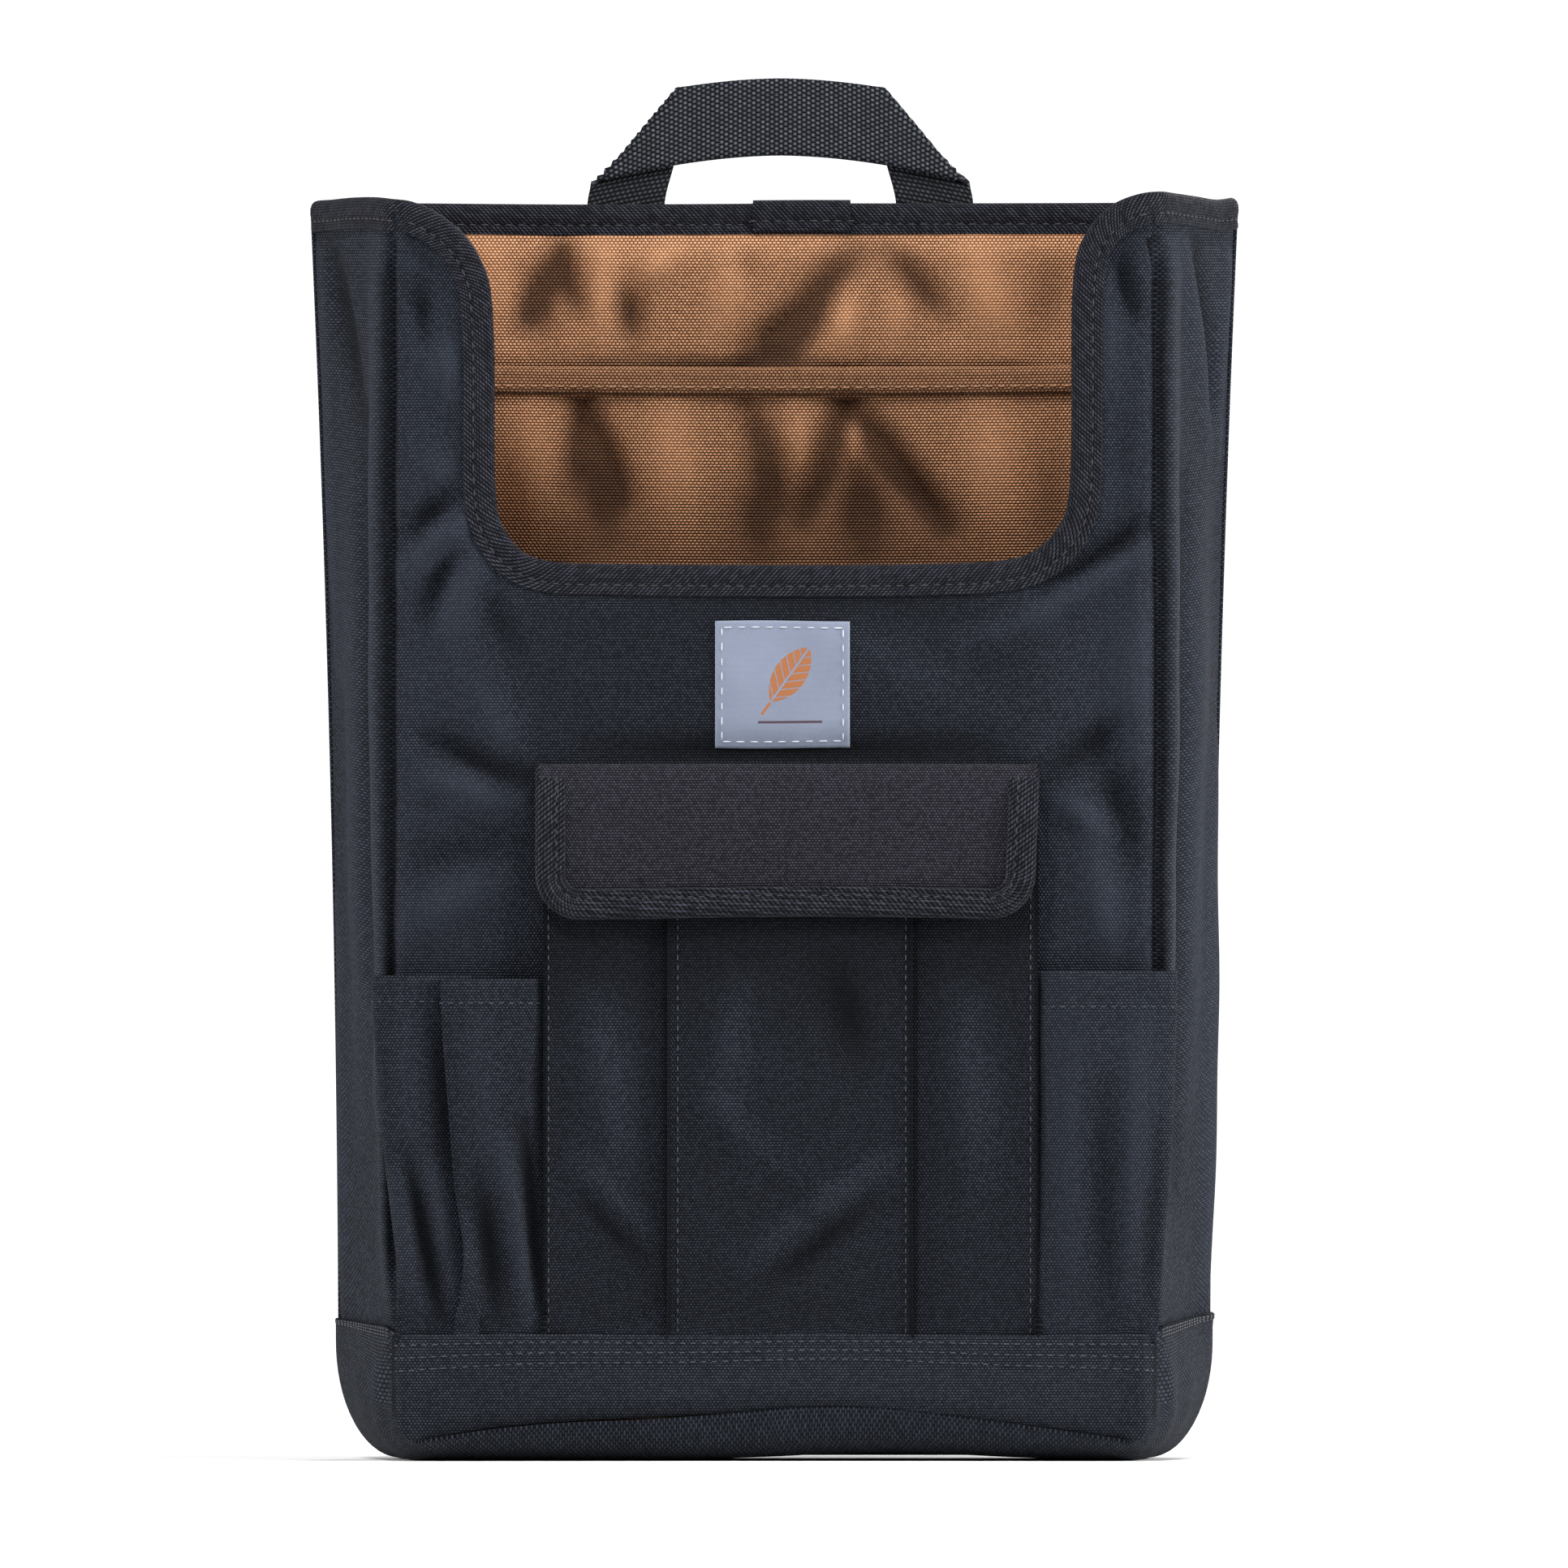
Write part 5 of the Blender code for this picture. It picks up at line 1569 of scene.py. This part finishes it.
def handleLine():
    # webbing laid flat along x, then folded back at 45 degrees at both ends so that the legs run down behind
    h = handle
    half = h["width"] / 2
    leg = h["gripZ"] - h["foot"] + 30 * mm
    s = np.linspace(h["foldLeft"] - leg, h["foldRight"] + leg, 330)
    t = np.linspace(half, -half, 15)
    gs, gt = np.meshgrid(s, t)
    x, z = gs.copy(), h["gripZ"] + gt
    y = np.full(x.shape, h["legY"] - 2 * h["turnRadius"])
    bend = math.pi * h["turnRadius"] / 2
    for fx, sign in ((h["foldLeft"], -1), (h["foldRight"], 1)):
        # distance past the fold line, which climbs inwards from the lower corner
        past = (sign * (gs - fx) + (gt + half)) / math.sqrt(2)
        angle = np.clip((past + bend) / h["turnRadius"], 0, math.pi)
        plane = np.where(
            past < -bend, past, np.where(past > bend, -past, -bend + h["turnRadius"] * np.sin(angle))
        )
        move = plane - past
        x = x + np.where(past > -bend, sign * move / math.sqrt(2), 0)
        z = z + np.where(past > -bend, move / math.sqrt(2), 0)
        y = y + np.where(past > -bend, h["turnRadius"] * (1 - np.cos(angle)), 0)
    centre = (h["foldLeft"] + h["foldRight"]) / 2
    away = np.abs(x - centre) / h["halfSpan"]
    z = z - h["drop"] * away ** 1.8
    out = h["spread"] * ease((430 * mm - z) / (20 * mm))
    x = x + np.sign(x - centre) * np.where(y > h["legY"] - h["turnRadius"], out, 0)
    y = y - h["sewnIn"] * ease((402 * mm - z) / (9 * mm))
    z = np.maximum(z, h["foot"])
    return np.stack([x, y, z], 2), np.stack([gs, gt], 2)


def buildHandle():
    grid, flat = handleLine()
    keep = np.ones((grid.shape[0] - 1, grid.shape[1] - 1), bool)
    flatRow = grid[:, :, 2] > handle["foot"] + 0.01 * mm
    keep &= flatRow[1:, 1:] | flatRow[:-1, :-1]
    # painted shadow on the legs of the webbing that lie behind the grip
    behind = 0.5 * ease((grid[:, :, 1] - handle["legY"] + 1.9 * mm) / (0.4 * mm))
    strap = clothPiece(
        "handle_webbing", grid, "webbing", handle["thickness"], None, flat, keep, side=0.0,
        paintedShading=behind
    )
    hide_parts("handle_loop", "handle_anchor_left", "handle_anchor_right")
    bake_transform(strap)


buildHandle()


def anchorSeams():
    # a box with a cross on each sewn end
    y = handle["legY"] - handle["sewnIn"] + handle["thickness"] / 2 + 0.1 * mm
    wide, low, high = handle["boxHalf"], handle["foot"] + handle["boxLow"], handle["foot"] + handle["boxHigh"]
    for middle in handle["boxMiddles"]:
        corners = [(-wide, low), (wide, low), (wide, high), (-wide, high), (-wide, low), (wide, high)]
        for (x0, z0), (x1, z1) in list(zip(corners, corners[1:])) + [((wide, low), (-wide, high))]:
            line = np.linspace((middle + x0, y, z0), (middle + x1, y, z1), 14)
            addSeam("anchor", line, np.tile([0.0, 1.0, 0.0], (14, 1)))


anchorSeams()
print("handle ready")


# hook and loop tapes, and the base board

closure = {
    "loopThickness": 0.8 * mm, "groundThickness": 0.6 * mm, "margin": 1.5 * mm,
    "hookPitch": 1.7 * mm, "hookHeight": 0.7 * mm, "hookThickness": 0.16 * mm, "seed": 4,
}


def buildClosure():
    low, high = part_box("pocket_loop_tape")
    x = np.linspace(low.x, high.x, 60)
    z = np.linspace(high.z, low.z, 18)
    gx, gz = np.meshgrid(x, z)
    face = np.minimum.reduce([gx - low.x, high.x - gx, gz - low.z, high.z - gz]) / (2.0 * mm)
    gy = frontY - 8.1 * mm - 0.5 * mm * ease(face)
    loops = clothPiece(
        "pocket_loop_cloth", np.stack([gx, gy, gz], 2), "loops", closure["loopThickness"], "bag",
        np.stack([gx, gz], 2)
    )
    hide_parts("pocket_loop_tape")
    low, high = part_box("flap_hook_tape")
    x = np.linspace(high.x, low.x, 60)
    z = np.linspace(high.z, low.z, 18)
    gx, gz = np.meshgrid(x, z)
    along = np.interp(gz.ravel(), flapLine[::-1, 1], np.linspace(flapLength, 0, len(flapLine)))
    gy = flapPlace(gx.ravel(), along).reshape(gx.shape + (3,))[:, :, 1] + body["fabric"] + 0.75 * mm
    hooks = clothPiece(
        "flap_hook_ground", np.stack([gx, gy, gz], 2), "hooks", closure["groundThickness"], "flap",
        np.stack([gx, gz], 2)
    )
    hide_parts("flap_hook_tape")
    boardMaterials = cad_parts["base_board"].data.materials
    boardMaterials.clear()
    boardMaterials.append(cloth["board"])


buildClosure()


# stitches, by geometry nodes

stitchKinds = {
    # thread, stitch length, gap, thickness, body
    "rim": ("darkThread", 2.9, 1.1, 0.70, "bag"),
    "fine": ("thread", 2.1, 1.2, 0.46, "bag"),
    "band": ("thread", 2.3, 1.2, 0.52, "bag"),
    "flap": ("darkThread", 2.4, 1.2, 0.60, "flap"),
    "tan": ("tanThread", 3.0, 1.2, 0.62, "bag"),
    "pale": ("paleThread", 2.9, 1.5, 0.50, "bag"),
    "anchor": ("thread", 2.4, 1.0, 0.60, "bag"),
}


def newTree(name, points, numbers, seed, finish):
    # a group with one input of points, its numbers, a seed and a material
    tree = bpy.data.node_groups.new(name, "GeometryNodeTree")
    face = tree.interface
    face.new_socket(points, in_out="INPUT", socket_type="NodeSocketGeometry")
    for number, value in numbers:
        face.new_socket(number, in_out="INPUT", socket_type="NodeSocketFloat").default_value = value
    face.new_socket("seed", in_out="INPUT", socket_type="NodeSocketInt").default_value = seed
    face.new_socket(finish, in_out="INPUT", socket_type="NodeSocketMaterial")
    face.new_socket("made", in_out="OUTPUT", socket_type="NodeSocketGeometry")
    return tree, tree.nodes.new("NodeGroupInput").outputs


def treeNode(tree, kind, settings=None, values=None, output=0):
    node = tree.nodes.new(kind)
    for key, setting in (settings or {}).items():
        setattr(node, key, setting)
    for key, value in (values or {}).items():
        if isinstance(value, bpy.types.NodeSocket):
            tree.links.new(value, node.inputs[key])
        else:
            node.inputs[key].default_value = value
    return node.outputs[output]


def endTree(tree, copies, finish):
    # turns the copies into one plain mesh with its material
    plain = treeNode(tree, "GeometryNodeRealizeInstances", None, {"Geometry": copies})
    coloured = treeNode(tree, "GeometryNodeSetMaterial", None, {"Geometry": plain, "Material": finish})
    tree.links.new(coloured, tree.nodes.new("NodeGroupOutput").inputs[0])
    return tree


def runTree(name, mesh, tree, values, bodyName):
    # carries out the tree on the mesh and shows the result as a piece
    source = showObject("source_" + name, mesh)
    modifier = source.modifiers.new("tree", "NODES")
    modifier.node_group = tree
    sockets = {item.name: item.identifier for item in tree.interface.items_tree if item.in_out == "INPUT"}
    for key, value in values.items():
        modifier[sockets[key]] = value
    made = bpy.data.meshes.new_from_object(source.evaluated_get(bpy.context.evaluated_depsgraph_get()))
    bpy.data.objects.remove(source)
    made.name = name
    made.shade_smooth()
    obj = showObject(name, made)
    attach(obj, bodyName)
    return obj


def stitchTree():
    numbers = (("stitch length", 0.003), ("gap", 0.0012), ("thickness", 0.0005), ("unevenness", 0.12))
    tree, source = newTree("stitchRow", "line", numbers, 3, "thread")
    curve = treeNode(tree, "GeometryNodeMeshToCurve", None, {"Mesh": source["line"]})
    pitch = treeNode(
        tree, "ShaderNodeMath", {"operation": "ADD"}, {0: source["stitch length"], 1: source["gap"]}
    )
    spaced = treeNode(
        tree, "GeometryNodeResampleCurve", {"mode": "LENGTH"}, {"Curve": curve, "Length": pitch}
    )
    bead = treeNode(tree, "GeometryNodeMeshUVSphere", None, {"Segments": 7, "Rings": 5, "Radius": 0.5})
    values = {0: source["stitch length"], 1: source["thickness"], 2: source["thickness"]}
    size = treeNode(tree, "ShaderNodeCombineXYZ", None, values)
    shaped = treeNode(tree, "GeometryNodeTransform", None, {"Geometry": bead, "Scale": size})
    settings = {"data_type": "FLOAT_VECTOR"}
    out = treeNode(tree, "GeometryNodeInputNamedAttribute", settings, {"Name": "outward"})
    along = treeNode(tree, "GeometryNodeInputTangent")
    upright = treeNode(tree, "FunctionNodeAlignRotationToVector", {"axis": "Z"}, {"Vector": out})
    settings = {"axis": "X", "pivot_axis": "Z"}
    values = {"Rotation": upright, "Vector": along}
    turned = treeNode(tree, "FunctionNodeAlignRotationToVector", settings, values)
    values = {"Points": spaced, "Instance": shaped, "Rotation": turned}
    placed = treeNode(tree, "GeometryNodeInstanceOnPoints", None, values)
    most = treeNode(tree, "ShaderNodeMath", {"operation": "ADD"}, {0: 1.0, 1: source["unevenness"]})
    least = treeNode(tree, "ShaderNodeMath", {"operation": "SUBTRACT"}, {0: 1.0, 1: source["unevenness"]})
    values = {2: least, 3: most, "Seed": source["seed"]}
    chance = treeNode(tree, "FunctionNodeRandomValue", {"data_type": "FLOAT"}, values, 1)
    varied = treeNode(tree, "GeometryNodeScaleInstances", None, {"Instances": placed, "Scale": chance})
    return endTree(tree, varied, source["thread"])


def makeStitches(kind, rows, tree):
    threadName, length, gap, thick, bodyName = stitchKinds[kind]
    points, edges, outward = [], [], []
    for line, out in rows:
        first = len(points)
        points += line.tolist()
        outward += out.tolist()
        edges += [(first + i, first + i + 1) for i in range(len(line) - 1)]
    mesh = bpy.data.meshes.new("stitch_line_" + kind)
    mesh.from_pydata(points, edges, [])
    attribute = mesh.attributes.new("outward", "FLOAT_VECTOR", "POINT")
    attribute.data.foreach_set("vector", np.array(outward, np.float32).ravel())
    values = {
        "stitch length": length * mm, "gap": gap * mm, "thickness": thick * mm, "thread": cloth[threadName],
        "seed": len(kind),
    }
    runTree("stitches_" + kind, mesh, tree, values, bodyName)


def hookTree():
    tree, source = newTree("hookField", "ground", (("height", 0.0007), ("thickness", 0.00016)), 4, "finish")
    bead = treeNode(tree, "GeometryNodeMeshUVSphere", None, {"Segments": 5, "Rings": 4, "Radius": 1.0})
    values = {0: source["thickness"], 1: source["height"], 2: source["thickness"]}
    size = treeNode(tree, "ShaderNodeCombineXYZ", None, values)
    shaped = treeNode(tree, "GeometryNodeTransform", None, {"Geometry": bead, "Scale": size})
    values = {0: (-0.5, -0.3, -0.3), 1: (0.5, 0.3, 0.3), "Seed": source["seed"]}
    tilt = treeNode(tree, "FunctionNodeRandomValue", {"data_type": "FLOAT_VECTOR"}, values)
    values = {"Points": source["ground"], "Instance": shaped, "Rotation": tilt}
    placed = treeNode(tree, "GeometryNodeInstanceOnPoints", None, values)
    return endTree(tree, placed, source["finish"])


def makeHooks():
    low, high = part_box("flap_hook_tape")
    x = np.arange(low.x + closure["margin"], high.x - 1.2 * mm, closure["hookPitch"])
    z = np.arange(low.z + closure["margin"], high.z - 1.2 * mm, closure["hookPitch"])
    gx, gz = np.meshgrid(x, z)
    surface = grids["flap_hook_ground"].reshape(-1, 3)
    points = []
    for px, pz in zip(gx.ravel(), gz.ravel()):
        near = int(np.argmin((surface[:, 0] - px) ** 2 + (surface[:, 2] - pz) ** 2))
        points.append((px, surface[near, 1] + 0.25 * mm, pz))
    mesh = bpy.data.meshes.new("hook_points")
    mesh.from_pydata(points, [], [])
    values = {
        "height": closure["hookHeight"], "thickness": closure["hookThickness"], "seed": closure["seed"],
        "finish": cloth["hooks"],
    }
    hooks = runTree("flap_hooks", mesh, hookTree(), values, "flap")


stitchGroup = stitchTree()
for kind, rows in seams.items():
    makeStitches(kind, rows, stitchGroup)
makeHooks()
print("stitches and hooks ready")


# floor and light

def makeStudio():
    mesh = bpy.data.meshes.new("floor")
    shape = bmesh.new()
    bmesh.ops.create_circle(shape, cap_ends=True, segments=96, radius=studio["floorRadius"])
    shape.to_mesh(mesh)
    shape.free()
    paint = Paint("paleFloor", 0.9, 0.0, 0.5, 0.1)
    grain = paint.noise(40.0, 3.0)
    tone = studio["floorTone"]
    mesh.materials.append(
        paint.finish(paint.blend(grain * 0.3, tone, (tone[0] * 0.97, tone[1] * 0.97, tone[2] * 0.97, 1)))
    )
    floor = showObject("floor", mesh)
    floor.location.z = -0.2 * mm
    for name, (place, aim, size, power) in studio["lights"].items():
        data = bpy.data.lights.new(name, "AREA")
        data.shape = "DISK"
        data.size = size
        data.energy = power
        obj = showObject(name, data)
        obj.location = place
        obj.rotation_euler = (Vector(aim) - Vector(place)).to_track_quat("-Z", "Y").to_euler()
    world = bpy.data.worlds.new("studioWorld")
    world.use_nodes = True
    nodes, links = world.node_tree.nodes, world.node_tree.links
    background = nodes["Background"]
    seen = nodes.new("ShaderNodeLightPath")
    strength = nodes.new("ShaderNodeMapRange")
    strength.inputs["To Min"].default_value = studio["worldToObject"]
    strength.inputs["To Max"].default_value = studio["worldToCamera"]
    links.new(seen.outputs["Is Camera Ray"], strength.inputs["Value"])
    links.new(strength.outputs[0], background.inputs["Strength"])
    background.inputs["Color"].default_value = (1, 1, 1, 1)
    bpy.context.scene.world = world
    bpy.context.scene.view_settings.view_transform = "Standard"


makeStudio()

print("scene ready")
